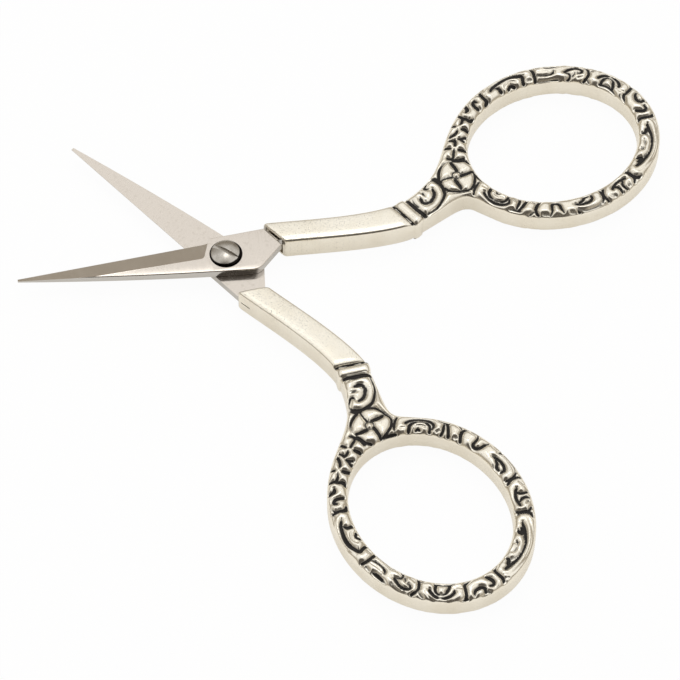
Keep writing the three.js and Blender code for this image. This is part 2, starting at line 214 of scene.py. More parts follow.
# %% [markdown]
# ## The plan of a half
# A half is drawn closed, in millimetres: the pivot is the origin, the blade points along -X, the finger
# ring lies towards +X and +Y, and the blades meet on z = 0. Points in the plan are complex numbers,
# because turning one is then a multiplication. The sizes are the ones that the solids were drawn with,
# but the collar's ends and the blade's heel are rounder here. The rear half is the same half turned over,
# so one drawing serves both. Curve objects could be drawn instead, but lines worked out as numbers can be
# measured and moved sideways before there is any mesh.

# %% Sizes of a half
MM = 0.001
OPENING = 48.6
SLANT = 35
SHANK_WIDTH, SHANK_THICKNESS = 3.95, 4.6
MOUTH = 7.7 + 2.5j
COLLAR = MOUTH + 20.85 + 0.95j
SHANK_BEND, SHANK_BEND_REACH = 20.6, 5.3
COLLAR_WIDTH, COLLAR_RIM = 1.9, 0.4
RING_THICKNESS, RING_RIM, RING_RIM_DROP = 4.8, 1.15, 1.25
RING_TILT = 11.1
BORE_HALF, BORE_SHIFT = np.array([26.85, 22.35]) / 2, 0.2
BANDS = np.array([3.28, 3.18])
NECK_HEADING, NECK_REACH = 23.7, 9.9
OUTER_BLEND, OUTER_SIDE = 133.5, (27.7, 10.4, 9.1)
INNER_BLEND, INNER_SIDE = 219, (28, 10.4, 6.1)
WALL = 0.55
FACET_TRIM = 0.05  # keeps the round ring inside the solids' faceted one
CURVE_POINTS = 121


def heading(degrees):
    return np.exp(1j * np.radians(degrees))


def unit(step):
    return step / abs(step)


CUT_ALONG, CUT_INWARD = heading(SLANT - 90), heading(SLANT)
CUT_HALF = SHANK_WIDTH / 2 / math.cos(math.radians(SLANT))
OUTER_HALF = BORE_HALF + BANDS
off_axis = math.radians(NECK_HEADING - RING_TILT)
ring_reach = 1 / math.hypot(math.cos(off_axis) / OUTER_HALF[0], math.sin(off_axis) / OUTER_HALF[1])
RING_CENTRE = COLLAR + heading(NECK_HEADING) * (NECK_REACH + ring_reach)


def sweep(start, leave, leave_reach, arrive, arrive_reach, end, u=np.linspace(0, 1, CURVE_POINTS)):
    """Points along the cubic curve that a side of the handle follows."""
    knots = start, start + leave * leave_reach, end - arrive * arrive_reach, end
    weights = (1 - u) ** 3, 3 * u * (1 - u) ** 2, 3 * u * u * (1 - u), u**3
    return sum(w * k for w, k in zip(weights, knots))


def oval(half, degrees, shift=0.0):
    t = np.radians(degrees)
    return RING_CENTRE + heading(RING_TILT) * (half[0] * np.cos(t) - shift + 1j * half[1] * np.sin(t))


def clockwise(degrees):
    """Direction of travel round the ring's outside."""
    onward = heading(degrees - 90)
    onward = OUTER_HALF[0] * onward.real + 1j * OUTER_HALF[1] * onward.imag
    return unit(onward) * heading(RING_TILT)


def run_of(points):
    """How far along the line each point lies."""
    return np.concatenate([[0], np.cumsum(abs(np.diff(points)))])


def at_run(points, where):
    """The places on a line at these distances along it."""
    run = run_of(points)
    return np.interp(where, run, points.real) + 1j * np.interp(where, run, points.imag)


def resample(points, count):
    return at_run(points, np.linspace(0, run_of(points)[-1], count))


def offset(line, inset):
    """A line moved sideways, to the right of its travel."""
    travel = np.gradient(line)
    return line - 1j * travel / abs(travel) * inset


def turned(degrees, axis="Z"):
    return Matrix.Rotation(math.radians(degrees), 4, axis)


at_pivot, to_metres = Matrix.Translation(pivot), Matrix.Scale(MM, 4)
lay_front = at_pivot @ turned(OPENING / 2) @ to_metres
lay_rear = at_pivot @ turned(-OPENING / 2) @ turned(180, "X") @ to_metres
print("ring centre", np.round(RING_CENTRE, 3), "outer half axes", OUTER_HALF)

# %% [markdown]
# ## Pressed blanks
# Before it meets the die, a shell is a smooth dish: flat below, with rounded rims above. Three dishes make
# it, the ring with its neck, the shank and the collar. A regular grid of fine cells is laid over the ring
# and neck, because the relief comes later and moves these points. The hollow inside is a lower, narrower
# dish that is cut away. A sculpted or remeshed surface would also do, but its cells wouldn't follow the
# ring's edges.


# %% Rounded rims
def rim_height(distance, thickness, rim, drop=None):
    """Height of a rounded rim at a distance in from the outline. It falls by its own width unless told."""
    outward = 1 - np.clip(distance / rim, 0, 1)
    return thickness / 2 - (drop or rim) * (1 - np.sqrt(1 - outward**2))


def rim_rows(rim, steps):
    return rim * (1 - np.cos(np.linspace(0, np.pi / 2, steps + 1)))


def rows_across(width, rim, rim_steps, middle_steps):
    """Distances in from one edge, for each line across a band: one rim, the middle, the other rim."""
    steps = rim_rows(rim, rim_steps)
    middle = np.linspace(0, 1, middle_steps + 1)[None, 1:-1]
    parts = np.tile(steps, (len(width), 1)), rim + middle * (width - 2 * rim), width - steps[None, ::-1]
    return np.concatenate(parts, axis=1)


inwards = rim_rows(RING_RIM, 4)
upwards = rim_height(inwards, RING_THICKNESS, RING_RIM, RING_RIM_DROP)
print("over the ring's rim, inwards", inwards.round(2), "and upwards", upwards.round(2))


# %% Dishes
def edited(mesh, edit):
    """The mesh after a function has worked on it with bmesh."""
    made = bmesh.new()
    made.from_mesh(mesh)
    edit(made)
    made.to_mesh(mesh)
    made.free()
    return mesh


class Dish:
    """Collects grids of points in the plan and closes them into a solid."""

    def __init__(self):
        self.points, self.faces, self.count = [], [], 0

    def add(self, plan, heights):
        """Takes in points of the plan at these heights, and returns their numbers."""
        heights = np.broadcast_to(heights, plan.shape)
        self.points.append(np.stack([plan.real.ravel(), plan.imag.ravel(), heights.ravel()], 1))
        first = self.count
        self.count += plan.size
        return np.arange(first, self.count).reshape(plan.shape)

    def strip(self, grid, closed=False):
        """Faces between neighbouring rows and columns of point numbers."""
        if closed:
            grid = np.vstack([grid, grid[:1]])
        around = grid[:-1, :-1], grid[1:, :-1], grid[1:, 1:], grid[:-1, 1:]
        self.faces += np.stack([corner.ravel() for corner in around], 1).tolist()

    def wall(self, first, second, closed=True):
        """Faces between two lines of point numbers."""
        self.strip(np.stack([first, second], 1), closed)

    def mesh(self, name):
        def build(made):
            points = [made.verts.new(p) for p in np.concatenate(self.points)]
            for face in self.faces:
                distinct = list(dict.fromkeys(face))
                if len(distinct) > 2:
                    made.faces.new([points[i] for i in distinct])
            bmesh.ops.recalc_face_normals(made, faces=made.faces)

        return edited(bpy.data.meshes.new(name), build)


def block(name, plan, heights, low=0.0):
    """A dish from one grid of plan points: its top, its four walls and its flat underside."""
    dish = Dish()
    top, under = dish.add(plan, heights), dish.add(plan, low)
    dish.strip(top)
    dish.strip(under)
    for edge in (np.s_[0], np.s_[-1], np.s_[:, 0], np.s_[:, -1]):
        dish.strip(np.stack([top[edge], under[edge]]))
    return dish.mesh(name)


def prism(outline, low, high):
    """A plate of an outline. Its heights may be numbers or change from point to point."""
    dish = Dish()
    bottom, top = dish.add(outline, low), dish.add(outline, high)
    dish.wall(bottom, top)
    dish.faces += [bottom.tolist(), top.tolist()]
    return dish.mesh("prism")


def rectangle(first, opposite):
    """Its corners in the plan."""
    return np.array([first, first.real + 1j * opposite.imag, opposite, opposite.real + 1j * first.imag])


# %% Lines of the ring and neck
TURN_POINTS = 20001
CATCH_UP = 0.12, 0.68  # where the neck's longer edge gains on the ring's, clear of the tight corners


def ring_columns(columns, outer, bore):
    """The columns' angles, clockwise, with one at each end of the neck, and how many are clear of it."""
    turns = np.linspace(OUTER_BLEND, OUTER_BLEND - 360, TURN_POINTS)
    run = run_of(oval((outer + bore) / 2, turns))
    blend_run = np.interp(OUTER_BLEND - (INNER_BLEND - 360), OUTER_BLEND - turns, run)
    free = round(columns * blend_run / run[-1])
    on_neck = np.linspace(blend_run, run[-1], columns - free + 1)[1:-1]
    where = np.concatenate([np.linspace(0, blend_run, free + 1), on_neck])
    return np.interp(where, run, turns), free


def neck_outline(trim):
    """Both sides of the neck as one line, from the ring by way of the collar and back to the ring."""
    sides = []
    for way, blend, (leave, flare, reach) in ((1, INNER_BLEND, INNER_SIDE), (-1, OUTER_BLEND, OUTER_SIDE)):
        corner, travel = COLLAR + way * CUT_ALONG * CUT_HALF, -way * clockwise(blend)
        side = sweep(corner, heading(leave), flare, travel, reach, oval(OUTER_HALF, blend))
        sides.append(offset(side, -way * trim))
    return np.concatenate([sides[0][::-1], sides[1]])


def in_step(line, root):
    """Points along the neck's outline, one for each point of its root on the ring."""
    share = np.linspace(0, 1, len(root))
    root_run, whole = run_of(root)[-1], run_of(line)[-1]
    catch_up = np.clip((share - CATCH_UP[0]) / (CATCH_UP[1] - CATCH_UP[0]), 0, 1)
    points = at_run(line, root_run * share + (whole - root_run) * catch_up**2 * (3 - 2 * catch_up))
    points[0], points[-1] = root[0], root[-1]
    return points


neck_length = run_of(neck_outline(FACET_TRIM))[-1]
print("the neck's outline is", round(neck_length, 2), "mm long")

# %% Ring and neck
FINE = 1000, 100, 17, 11  # columns round the ring, and rows along the neck, over a rim and across the band
EDGE_POINTS, NO_LENGTH = 8, 1e-9


def distances_to(line):
    """A function that says how far points of the plan are from a line."""
    tree = KDTree(len(line))
    for i, p in enumerate(line):
        tree.insert((p.real, p.imag, 0), i)
    tree.balance()
    return np.vectorize(lambda p: tree.find((p.real, p.imag, 0))[2], otypes=[float])


def ring_and_neck(name, thickness, rim, drop=None, inset=0.0, low=0.0, fine=FINE):
    """The ring's band, the neck that grows out of it, their walls and their flat underside."""
    columns, neck_rows, rim_steps, band_rows = fine
    outer, bore = OUTER_HALF - FACET_TRIM - inset, BORE_HALF + inset
    angles, free = ring_columns(columns, outer, bore)
    inner_edge, outer_edge = oval(bore, angles, BORE_SHIFT), oval(outer, angles)
    around = np.r_[free:columns, 0]
    root = outer_edge[around]
    neck_edge = in_step(neck_outline(inset + FACET_TRIM), root)
    to_neck_edge = distances_to(resample(neck_edge, EDGE_POINTS * (columns - free) + 1))

    # The band, from the bore outwards.
    dish = Dish()
    width = abs(outer_edge - inner_edge)[:, None]
    from_bore = rows_across(width, rim, rim_steps, band_rows)
    band = inner_edge[:, None] + (outer_edge - inner_edge)[:, None] * from_bore / width
    to_outside = width - from_bore
    to_outside[free + 1 :] += to_neck_edge(outer_edge[free + 1 :])[:, None]
    ring = dish.add(band, rim_height(np.minimum(from_bore, to_outside), thickness, rim, drop))
    dish.strip(ring, closed=True)

    # The neck, from the band to its own outline.
    reach = neck_edge - root
    length = np.maximum(abs(reach), NO_LENGTH)[:, None]
    ends = length - rim_rows(rim, rim_steps)[None, ::-1] * np.minimum(1, length / (2 * rim))
    along = np.concatenate([np.linspace(0, 1, neck_rows + 1)[None, 1:-1] * ends[:, :1], ends], axis=1)
    plan = (root[:, None] + reach[:, None] * along / length)[1:-1]
    depth = to_neck_edge(plan)
    depth[:, -1] = 0
    grid = dish.add(plan, rim_height(depth, thickness, rim, drop))
    tips = np.repeat(ring[around[[0, -1]], -1][:, None], grid.shape[1], axis=1)
    grid = np.column_stack([ring[around, -1], np.vstack([tips[:1], grid, tips[1:]])])
    dish.strip(grid)

    # The walls and the underside.
    outline = np.concatenate([outer_edge[: free + 1], plan[:, -1]])
    outline_low, bore_low, root_low = [dish.add(line, low) for line in (outline, inner_edge, root[1:-1])]
    dish.wall(np.concatenate([ring[: free + 1, -1], grid[1:-1, -1]]), outline_low)
    dish.wall(ring[:, 0], bore_low)
    dish.wall(bore_low, np.concatenate([outline_low[: free + 1], root_low]))
    root_line = np.concatenate([outline_low[free : free + 1], root_low, outline_low[:1]])
    dish.wall(root_line, np.concatenate([outline_low[free:], outline_low[:1]]), closed=False)
    return dish.mesh(name)


RELIEF_DEPTH, CUT_MARGIN = 0.55, 0.5
RING_HOLLOW = RING_THICKNESS - 2 * (RELIEF_DEPTH + WALL)
RING_HOLLOW_RIM, RING_HOLLOW_FINE = 0.3, (400, 12, 2, 3)
hollow = {"inset": WALL, "low": -CUT_MARGIN}
ring_dish = ring_and_neck("ring_dish", RING_THICKNESS, RING_RIM, RING_RIM_DROP)
ring_hollow = ring_and_neck("ring_hollow", RING_HOLLOW, RING_HOLLOW_RIM, fine=RING_HOLLOW_FINE, **hollow)
print("ring blank", len(ring_dish.polygons), "faces; its hollow", len(ring_hollow.polygons))

# %% Shank
SHANK_CROWN, SHANK_CROWN_POWER, SHANK_RIM, SHANK_LAP = 0.2, 3, 0.42, 0.4
SHANK_SPANS = (0, 0.06, 15), (0.06, 0.92, 76), (0.92, 1, 27)  # lip, middle and end: from, to and points
SHANK_RIM_ROWS, SHANK_BAND_ROWS = 6, 24
SHANK_HOLLOW, SHANK_HOLLOW_RIM, MOUTH_LAP = SHANK_THICKNESS - 2 * WALL, 0.2, 2.0
LIP_REACH, LIP_DROP, LIP_PINCH = 0.55, 0.3, 0.22


def lip(line):
    """How far the mouth's rolled lip has turned over, from 1 at its edge to 0."""
    return 1 - np.sqrt(1 - np.clip(1 - run_of(line) / LIP_REACH, 0, 1) ** 2)


def shank_sides(inset, mouth_lap):
    """The two long sides, from the mouth to just under the collar."""
    bend, lines = heading(SHANK_BEND), []
    stations = np.unique(np.concatenate([np.linspace(*span) for span in SHANK_SPANS]))
    for way in (-1, 1):
        start, end = MOUTH + way * CUT_ALONG * CUT_HALF, COLLAR + way * CUT_ALONG * CUT_HALF
        line = sweep(start, 1, SHANK_BEND_REACH, bend, SHANK_BEND_REACH, end, stations)
        line = np.concatenate([[start - mouth_lap] if mouth_lap else [], line, [end + bend * SHANK_LAP]])
        pinch = 0 if mouth_lap else LIP_PINCH * lip(line)
        lines.append(offset(line, -way * (inset + pinch)))
    return lines


def shank(name, thickness, crown, rim, inset=0.0, mouth_lap=0.0, low=0.0):
    outer, inner = shank_sides(inset, mouth_lap)
    width = abs(inner - outer)[:, None]
    depth = rows_across(width, rim, SHANK_RIM_ROWS, SHANK_BAND_ROWS)
    plan = outer[:, None] + (inner - outer)[:, None] * depth / width
    sag = crown * abs(2 * depth / width - 1) ** SHANK_CROWN_POWER
    if not mouth_lap:
        sag = sag + LIP_DROP * lip(outer)[:, None]
    return block(name, plan, rim_height(np.minimum(depth, width - depth), thickness, rim) - sag, low)


shank_dish = shank("shank", SHANK_THICKNESS, SHANK_CROWN, SHANK_RIM)
shank_hollow = shank("shank_hollow", SHANK_HOLLOW, 0.0, SHANK_HOLLOW_RIM, mouth_lap=MOUTH_LAP, **hollow)
print("shank blank", len(shank_dish.polygons), "faces; its hollow", len(shank_hollow.polygons))

# %% Collar and slit
COLLAR_CROWN, COLLAR_END_RADIUS = 0.15, 0.75
COLLAR_END_RIM, COLLAR_END_PROUD = 0.9, 0.17
COLLAR_RIM_ROWS, COLLAR_LENGTH_POINTS, COLLAR_WIDTH_POINTS = 8, 24, 8
SLIT_CORNERS, SLIT_HALF = (0.7 - 0.9j, 2.4 + 0.5j), 0.11
CLEAR_BELOW, CLEAR_ABOVE = -1, 3  # heights that no plate reaches


def collar_rib():
    half_length, half_width = CUT_HALF + COLLAR_END_PROUD, COLLAR_WIDTH / 2

    def stations(half, rim, count):
        steps = rim_rows(rim, COLLAR_RIM_ROWS)
        middle = np.linspace(-half + rim, half - rim, count)[1:-1]
        return np.concatenate([steps - half, middle, half - steps[::-1]])

    rows = stations(half_length, COLLAR_END_RIM, COLLAR_LENGTH_POINTS)
    columns = stations(half_width, COLLAR_RIM, COLLAR_WIDTH_POINTS)
    sideways, lengthways = np.meshgrid(rows, columns, indexing="ij")
    over_end = rim_height(half_length - abs(sideways), RING_THICKNESS, COLLAR_END_RIM)
    over_side = rim_height(half_width - abs(lengthways), RING_THICKNESS, COLLAR_RIM)
    into_end = np.clip(abs(sideways) / COLLAR_END_RADIUS - half_length / COLLAR_END_RADIUS + 1, 0, 1)
    narrowing = 1 - (1 - np.sqrt(1 - into_end**2)) * COLLAR_END_RADIUS / half_width
    plan = COLLAR + CUT_ALONG * sideways + CUT_INWARD * lengthways * narrowing
    heights = np.minimum(over_end, over_side) - COLLAR_CROWN * (lengthways / half_width) ** 2
    return block("collar", plan, heights)


def mouth_slit():
    """Where the solder has let go beside the mouth, on the outer side."""
    return prism(MOUTH - CUT_ALONG * CUT_HALF + rectangle(*SLIT_CORNERS), CLEAR_BELOW, SLIT_HALF)


collar = collar_rib()
print("collar", len(collar.polygons), "faces, beside a slit", 2 * SLIT_HALF, "mm high")


# %% Join the blank
def plain_mesh(thing):
    """What an object's modifiers make of its mesh."""
    graph = bpy.context.evaluated_depsgraph_get()
    shown = thing.evaluated_get(graph)
    return bpy.data.meshes.new_from_object(shown, preserve_all_data_layers=True, depsgraph=graph)


def modified(mesh, *steps):
    """The mesh after these modifiers. A mesh among their settings becomes a tool object."""
    things = [show("workpiece", mesh)]
    for kind, settings in steps:
        step = things[0].modifiers.new(kind, kind)
        for name, value in settings.items():
            if isinstance(value, bpy.types.Mesh):
                things.append(show("tool", value))
                value = things[-1]
            setattr(step, name, value)
    made = plain_mesh(things[0])
    for thing in things:
        bpy.data.objects.remove(thing)
    return made


def joined(tool):
    return "BOOLEAN", {"operation": "UNION", "solver": "MANIFOLD", "object": tool}


def cut_by(tool):
    return "BOOLEAN", {"operation": "DIFFERENCE", "solver": "MANIFOLD", "object": tool}


cuts = map(cut_by, (shank_hollow, ring_hollow, mouth_slit()))
blank = modified(ring_dish, joined(shank_dish), joined(collar), *cuts)
print("blank shell", len(blank.vertices), "points")

# %% [markdown]
# ## The die
# The die pressed scrolls, leaves and flowers into the ring and neck, and the chaser then sank the ground
# between them, where tarnish has stayed black. So the ornament is drawn as that black ground: each stroke
# is a groove with a width that swells and tapers, as a graver cuts it. A painted height map could hold it
# too, but strokes can be read, moved and widened one by one. Round the ring a stroke's points are given
# along the band from the flower, clockwise, and outwards from its middle; on the neck they are given in
# the plan. The third number is the groove's half width, which a groove of one width gives only once,
# first. What is left standing between the strokes is the ornament.


# %% Grooves round the ring
def even(half_width, *places):
    """A stroke of one width."""
    return [(*place, half_width) for place in places]


RING_STROKES = {
    "first blossom": [
        [(2.5, 1.9, 0.12), (2.35, 1.0, 0.16), (2.15, 0.2, 0.18), (2.2, -0.6, 0.2)],
        [(2.75, 1.9, 0.14), (2.5, 1.4, 0.16), (2.7, 0.95, 0.15), (3.3, 0.78, 0.16), (3.9, 0.62, 0.15)],
        [(4.4, 1.9, 0.16), (4.35, 1.2, 0.18)],
        [(4.0, -0.2, 0.2), (3.9, -0.7, 0.25), (3.8, -1.05, 0.2)],
        [(4.8, 0.45, 0.14), (5.3, 0.4, 0.18), (5.7, 0.5, 0.2)],
        [(5.65, 1.3, 0.14), (5.65, 0.7, 0.16)],
    ],
    "second blossom": [
        [(6.3, 1.25, 0.16), (6.75, 0.75, 0.2), (7.3, 0.45, 0.16), (7.8, 0.4, 0.1)],
        [(6.1, 0.0, 0.14), (6.1, -0.4, 0.18), (5.75, -0.9, 0.16)],
        even(0.16, (6.15, -0.4), (6.6, -1.05)),
        [(8.35, 1.5, 0.14), (8.3, 0.95, 0.16)],
        [(8.1, -0.25, 0.18), (8.15, -0.6, 0.24), (7.95, -1.1, 0.2)],
        [(8.75, 0.35, 0.12), (9.4, 0.2, 0.16), (9.9, 0.3, 0.2)],
        [(10.35, 1.25, 0.14), (10.1, 0.5, 0.2), (10.15, -0.2, 0.2), (10.1, -0.8, 0.24), (10.7, -1.1, 0.12)],
    ],
    "first scroll": [
        [(11.35, 0.45, 0.16), (11.8, 0.5, 0.28), (12.05, 0.85, 0.22), (12.45, 1.3, 0.1)],
        [(13.8, 0.15, 0.14), (13.6, 0.55, 0.2), (13.2, 0.4, 0.22), (12.95, -0.2, 0.2), (12.85, -0.8, 0.22)],
        [(15.4, 0.95, 0.16), (15.2, 0.4, 0.2), (15.1, -0.2, 0.18), (15.0, -0.9, 0.26), (14.4, -1.15, 0.16)],
        [(14.6, 1.0, 0.1), (15.1, 0.65, 0.14)],
        [(15.3, 0.75, 0.12), (16.0, 1.05, 0.06)],
    ],
    "first arch": [
        [(16.6, 0.05, 0.1), (17.3, 0.4, 0.2), (18.3, 0.62, 0.22), (19.5, 0.78, 0.24), (20.7, 0.76, 0.24),
         (21.7, 0.5, 0.24), (22.5, 0.1, 0.24), (22.4, -0.5, 0.2), (22.3, -1.1, 0.22)],
        [(17.7, 0.2, 0.12), (18.15, -0.3, 0.2), (18.15, -0.9, 0.24)],
        even(0.08, (19.0, -0.7), (19.5, -0.2), (20.4, -0.1), (21.1, -0.5)),
        [(19.5, -1.1, 0.16), (20.1, -0.8, 0.2), (20.6, -1.1, 0.2)],
        even(0.06, (15.6, 0.2), (16.2, 0.95), (17.5, 1.35), (19.5, 1.5), (21.3, 1.35), (22.7, 0.8)),
        even(0.1, (23.0, -0.9), (23.8, -0.95)),
    ],
    "leaf": [
        [(24.2, 1.05, 0.16), (24.4, 0.5, 0.2), (24.45, -0.2, 0.2), (24.4, -0.9, 0.2), (24.3, -1.4, 0.16)],
        [(24.3, -1.45, 0.12), (26.5, -1.5, 0.13), (28.0, -1.4, 0.14), (28.8, -1.5, 0.08)],
        [(24.8, -0.3, 0.12), (25.6, -0.5, 0.13), (26.8, -0.5, 0.13), (27.4, -0.2, 0.15), (27.6, 0.2, 0.12)],
        even(0.06, (25.0, 0.2), (26.2, 0.05), (27.3, 0.2)),
        [(26.2, 1.05, 0.12), (27.0, 1.0, 0.2), (27.8, 1.1, 0.16), (28.6, 1.3, 0.08)],
        even(0.1, (25.0, 1.0), (25.6, 1.1)),
    ],
    "oval": [
        [(29.3, 0.0, 0.16), (29.9, 0.4, 0.18), (30.6, 0.75, 0.16), (31.4, 0.8, 0.16), (31.95, 0.5, 0.16),
         (31.8, 0.1, 0.14), (31.3, -0.1, 0.12)],
        [(29.5, -0.15, 0.12), (30.1, -0.5, 0.14), (30.2, -0.9, 0.14), (29.8, -1.45, 0.16)],
        even(0.12, (30.9, -0.3), (30.6, -0.8)),
        even(0.08, (31.5, -1.0), (32.3, -0.7)),
        even(0.06, (29.3, 0.9), (30.3, 1.3), (31.5, 1.3), (32.2, 0.8)),
    ],
    "fan": [
        [(32.4, 1.25, 0.16), (32.8, 0.8, 0.16), (33.05, 0.3, 0.16), (33.0, -0.4, 0.16), (32.8, -1.0, 0.18),
         (32.4, -1.5, 0.12)],
        [(33.1, 0.5, 0.1), (33.6, 1.0, 0.12), (34.0, 1.3, 0.1)],
        even(0.12, (33.0, -0.9), (33.5, -1.35)),
        [(34.2, 0.4, 0.06), (35.0, 1.2, 0.07), (36.4, 1.75, 0.08), (37.6, 1.35, 0.07), (38.6, 0.6, 0.06)],
        [(34.7, 0.0, 0.18), (35.1, 0.45, 0.2), (35.7, 0.85, 0.18), (36.3, 1.0, 0.1), (37.0, 0.95, 0.16),
         (37.7, 0.7, 0.2), (38.2, 0.25, 0.2), (38.3, -0.1, 0.14)],
        [(35.5, -1.0, 0.18), (35.5, -0.2, 0.18), (35.8, 0.35, 0.14), (36.4, 0.55, 0.12), (37.0, 0.35, 0.14),
         (37.3, -0.1, 0.18), (37.6, -0.7, 0.18), (37.7, -1.1, 0.16)],
        [(35.3, -1.1, 0.14), (36.5, -1.05, 0.13), (37.7, -1.15, 0.14), (38.6, -1.45, 0.1)],
        even(0.08, (38.1, -0.5), (39.0, -0.6), (39.7, -0.3)),
    ],
    "second scroll": [
        [(39.2, 1.7, 0.14), (39.7, 1.3, 0.2), (39.9, 0.6, 0.18), (39.95, -0.2, 0.16), (40.0, -0.8, 0.18),
         (40.6, -1.2, 0.14), (41.1, -1.45, 0.1)],
        even(0.14, (40.15, 1.65), (39.8, 1.3)),
        [(41.0, 1.2, 0.1), (41.05, 0.75, 0.16), (41.5, 0.35, 0.2), (42.1, 0.25, 0.2), (42.6, 0.6, 0.18),
         (42.5, 1.15, 0.16)],
        even(0.12, (42.0, 1.6), (43.0, 1.6), (42.7, 1.1)),
        [(43.4, 0.6, 0.14), (43.95, 0.65, 0.18), (44.2, 0.2, 0.22), (44.05, -0.4, 0.24),
         (43.7, -0.9, 0.18)],
        [(45.2, 1.2, 0.12), (45.5, 0.9, 0.2), (45.55, 0.2, 0.18), (45.5, -0.5, 0.18), (45.6, -1.1, 0.16),
         (46.4, -1.35, 0.08)],
        [(45.6, 0.8, 0.12), (46.2, 1.1, 0.08)],
    ],
    "long arch": [
        [(47.0, -0.15, 0.16), (47.7, -0.05, 0.2), (49.0, 0.3, 0.17), (50.5, 0.5, 0.15), (52.0, 0.5, 0.15),
         (53.3, 0.2, 0.18), (54.4, -0.1, 0.2), (55.4, -0.4, 0.14)],
        [(47.9, -0.35, 0.26), (48.5, -0.7, 0.22), (48.6, -1.05, 0.14)],
        [(48.8, -0.4, 0.12), (49.4, 0.0, 0.1), (50.6, 0.22, 0.08), (52.0, 0.2, 0.08), (53.2, -0.1, 0.12)],
        [(53.6, -0.3, 0.22), (53.8, -0.8, 0.2), (54.2, -1.0, 0.1)],
        [(54.0, -0.4, 0.2), (54.5, -0.5, 0.16)],
        [(50.0, -0.75, 0.1), (50.4, -0.55, 0.12), (51.2, -0.6, 0.09), (51.9, -0.75, 0.14),
         (51.7, -0.9, 0.1)],
        even(0.06, (46.0, 0.4), (46.6, 0.9), (48.5, 1.15), (51.5, 1.35), (54.0, 1.1), (56.0, 0.5)),
        [(56.5, 1.1, 0.12), (57.0, 0.9, 0.2), (57.3, 0.4, 0.26), (57.35, -0.2, 0.24), (57.3, -0.8, 0.22),
         (57.6, -1.2, 0.12)],
        [(58.0, 1.1, 0.14), (57.5, 0.7, 0.16)],
        [(56.8, -1.05, 0.12), (57.2, -0.8, 0.14)],
    ],
    "cup": [
        [(58.5, -0.4, 0.14), (59.0, -0.6, 0.18), (59.8, -0.75, 0.18), (60.7, -0.6, 0.17),
         (61.3, -0.25, 0.16), (61.4, 0.0, 0.1)],
        [(59.6, 1.2, 0.12), (59.7, 0.6, 0.16), (59.6, 0.1, 0.16), (59.2, -0.3, 0.14)],
        [(60.5, 1.1, 0.14), (60.4, 0.5, 0.16), (60.6, -0.1, 0.16), (60.9, -0.4, 0.14)],
        [(59.0, 0.9, 0.12), (58.7, 0.5, 0.08)],
        [(61.8, 1.0, 0.1), (62.4, 0.7, 0.08)],
    ],
    "curled leaf": [
        [(63.0, 1.2, 0.14), (63.2, 0.4, 0.16), (63.15, -0.3, 0.18), (62.7, -1.0, 0.16)],
        [(63.9, 1.0, 0.12), (63.4, 0.3, 0.16), (63.25, -0.4, 0.16), (63.3, -1.0, 0.14)],
        [(62.8, 1.6, 0.13), (64.2, 1.55, 0.13), (65.8, 1.65, 0.1)],
        [(66.3, 1.6, 0.12), (67.3, 1.6, 0.18), (67.7, 1.25, 0.16), (67.85, 0.8, 0.1)],
        even(0.1, (63.6, 0.6), (64.5, 1.1), (65.7, 1.25), (67.0, 1.15), (67.8, 0.75)),
        [(65.0, -0.95, 0.14), (65.05, -0.4, 0.18), (65.6, 0.0, 0.18), (66.6, 0.1, 0.16),
         (67.5, -0.05, 0.16), (68.1, -0.25, 0.1)],
        [(65.5, -0.95, 0.14), (66.2, -0.9, 0.2), (66.6, -0.5, 0.18), (67.2, -0.3, 0.14)],
        even(0.09, (68.2, 1.25), (69.0, 1.1)),
    ],
    "vase": [
        [(69.9, 0.9, 0.12), (70.2, 0.2, 0.16), (70.4, -0.5, 0.18), (70.9, -0.85, 0.2), (71.5, -0.7, 0.2),
         (71.6, -0.1, 0.16), (71.6, 0.6, 0.14), (71.9, 1.2, 0.12)],
        [(69.4, 1.6, 0.14), (70.7, 1.55, 0.12), (72.0, 1.6, 0.12)],
        even(0.1, (72.0, 1.1), (72.9, 1.1)),
        [(73.6, 1.2, 0.14), (74.0, 0.7, 0.2), (74.05, 0.0, 0.2), (73.85, -0.6, 0.2), (73.6, -1.1, 0.18)],
        [(73.3, 1.7, 0.12), (74.5, 1.65, 0.14), (75.6, 1.65, 0.1)],
        even(0.12, (74.2, 0.7), (75.0, 1.4)),
        [(74.3, -0.8, 0.12), (74.7, -1.0, 0.1)],
    ],
    "bars": [
        [(75.7, -1.1, 0.2), (75.95, -0.4, 0.18), (76.2, 0.2, 0.18), (76.5, 0.8, 0.16)],
        [(76.9, 0.6, 0.14), (76.8, -0.1, 0.16), (76.8, -0.8, 0.18), (76.95, -1.3, 0.14)],
        [(76.3, 0.9, 0.14), (77.1, 0.95, 0.13), (77.9, 1.05, 0.1)],
        even(0.1, (77.2, -0.6), (77.7, -0.95)),
    ],
    "last arch": [
        [(78.45, -0.6, 0.14), (78.35, 0.0, 0.16), (78.8, 0.5, 0.18), (79.7, 0.8, 0.16), (80.7, 0.85, 0.16),
         (81.7, 0.65, 0.16), (82.45, 0.3, 0.16)],
        [(78.8, -1.1, 0.16), (78.85, -0.4, 0.16), (79.15, 0.1, 0.16), (79.8, 0.4, 0.12), (80.6, 0.42, 0.12),
         (81.4, 0.25, 0.16), (81.9, -0.2, 0.18), (82.1, -0.8, 0.22), (82.2, -1.2, 0.16)],
        [(79.4, -0.5, 0.09), (80.2, -0.3, 0.08), (81.0, -0.4, 0.08)],
        [(80.4, -1.0, 0.14), (80.7, -0.85, 0.16), (81.0, -1.05, 0.14)],
        even(0.07, (82.6, -0.6), (83.4, -0.55)),
    ],
}
print(sum(map(len, RING_STROKES.values())), "grooves round the ring")

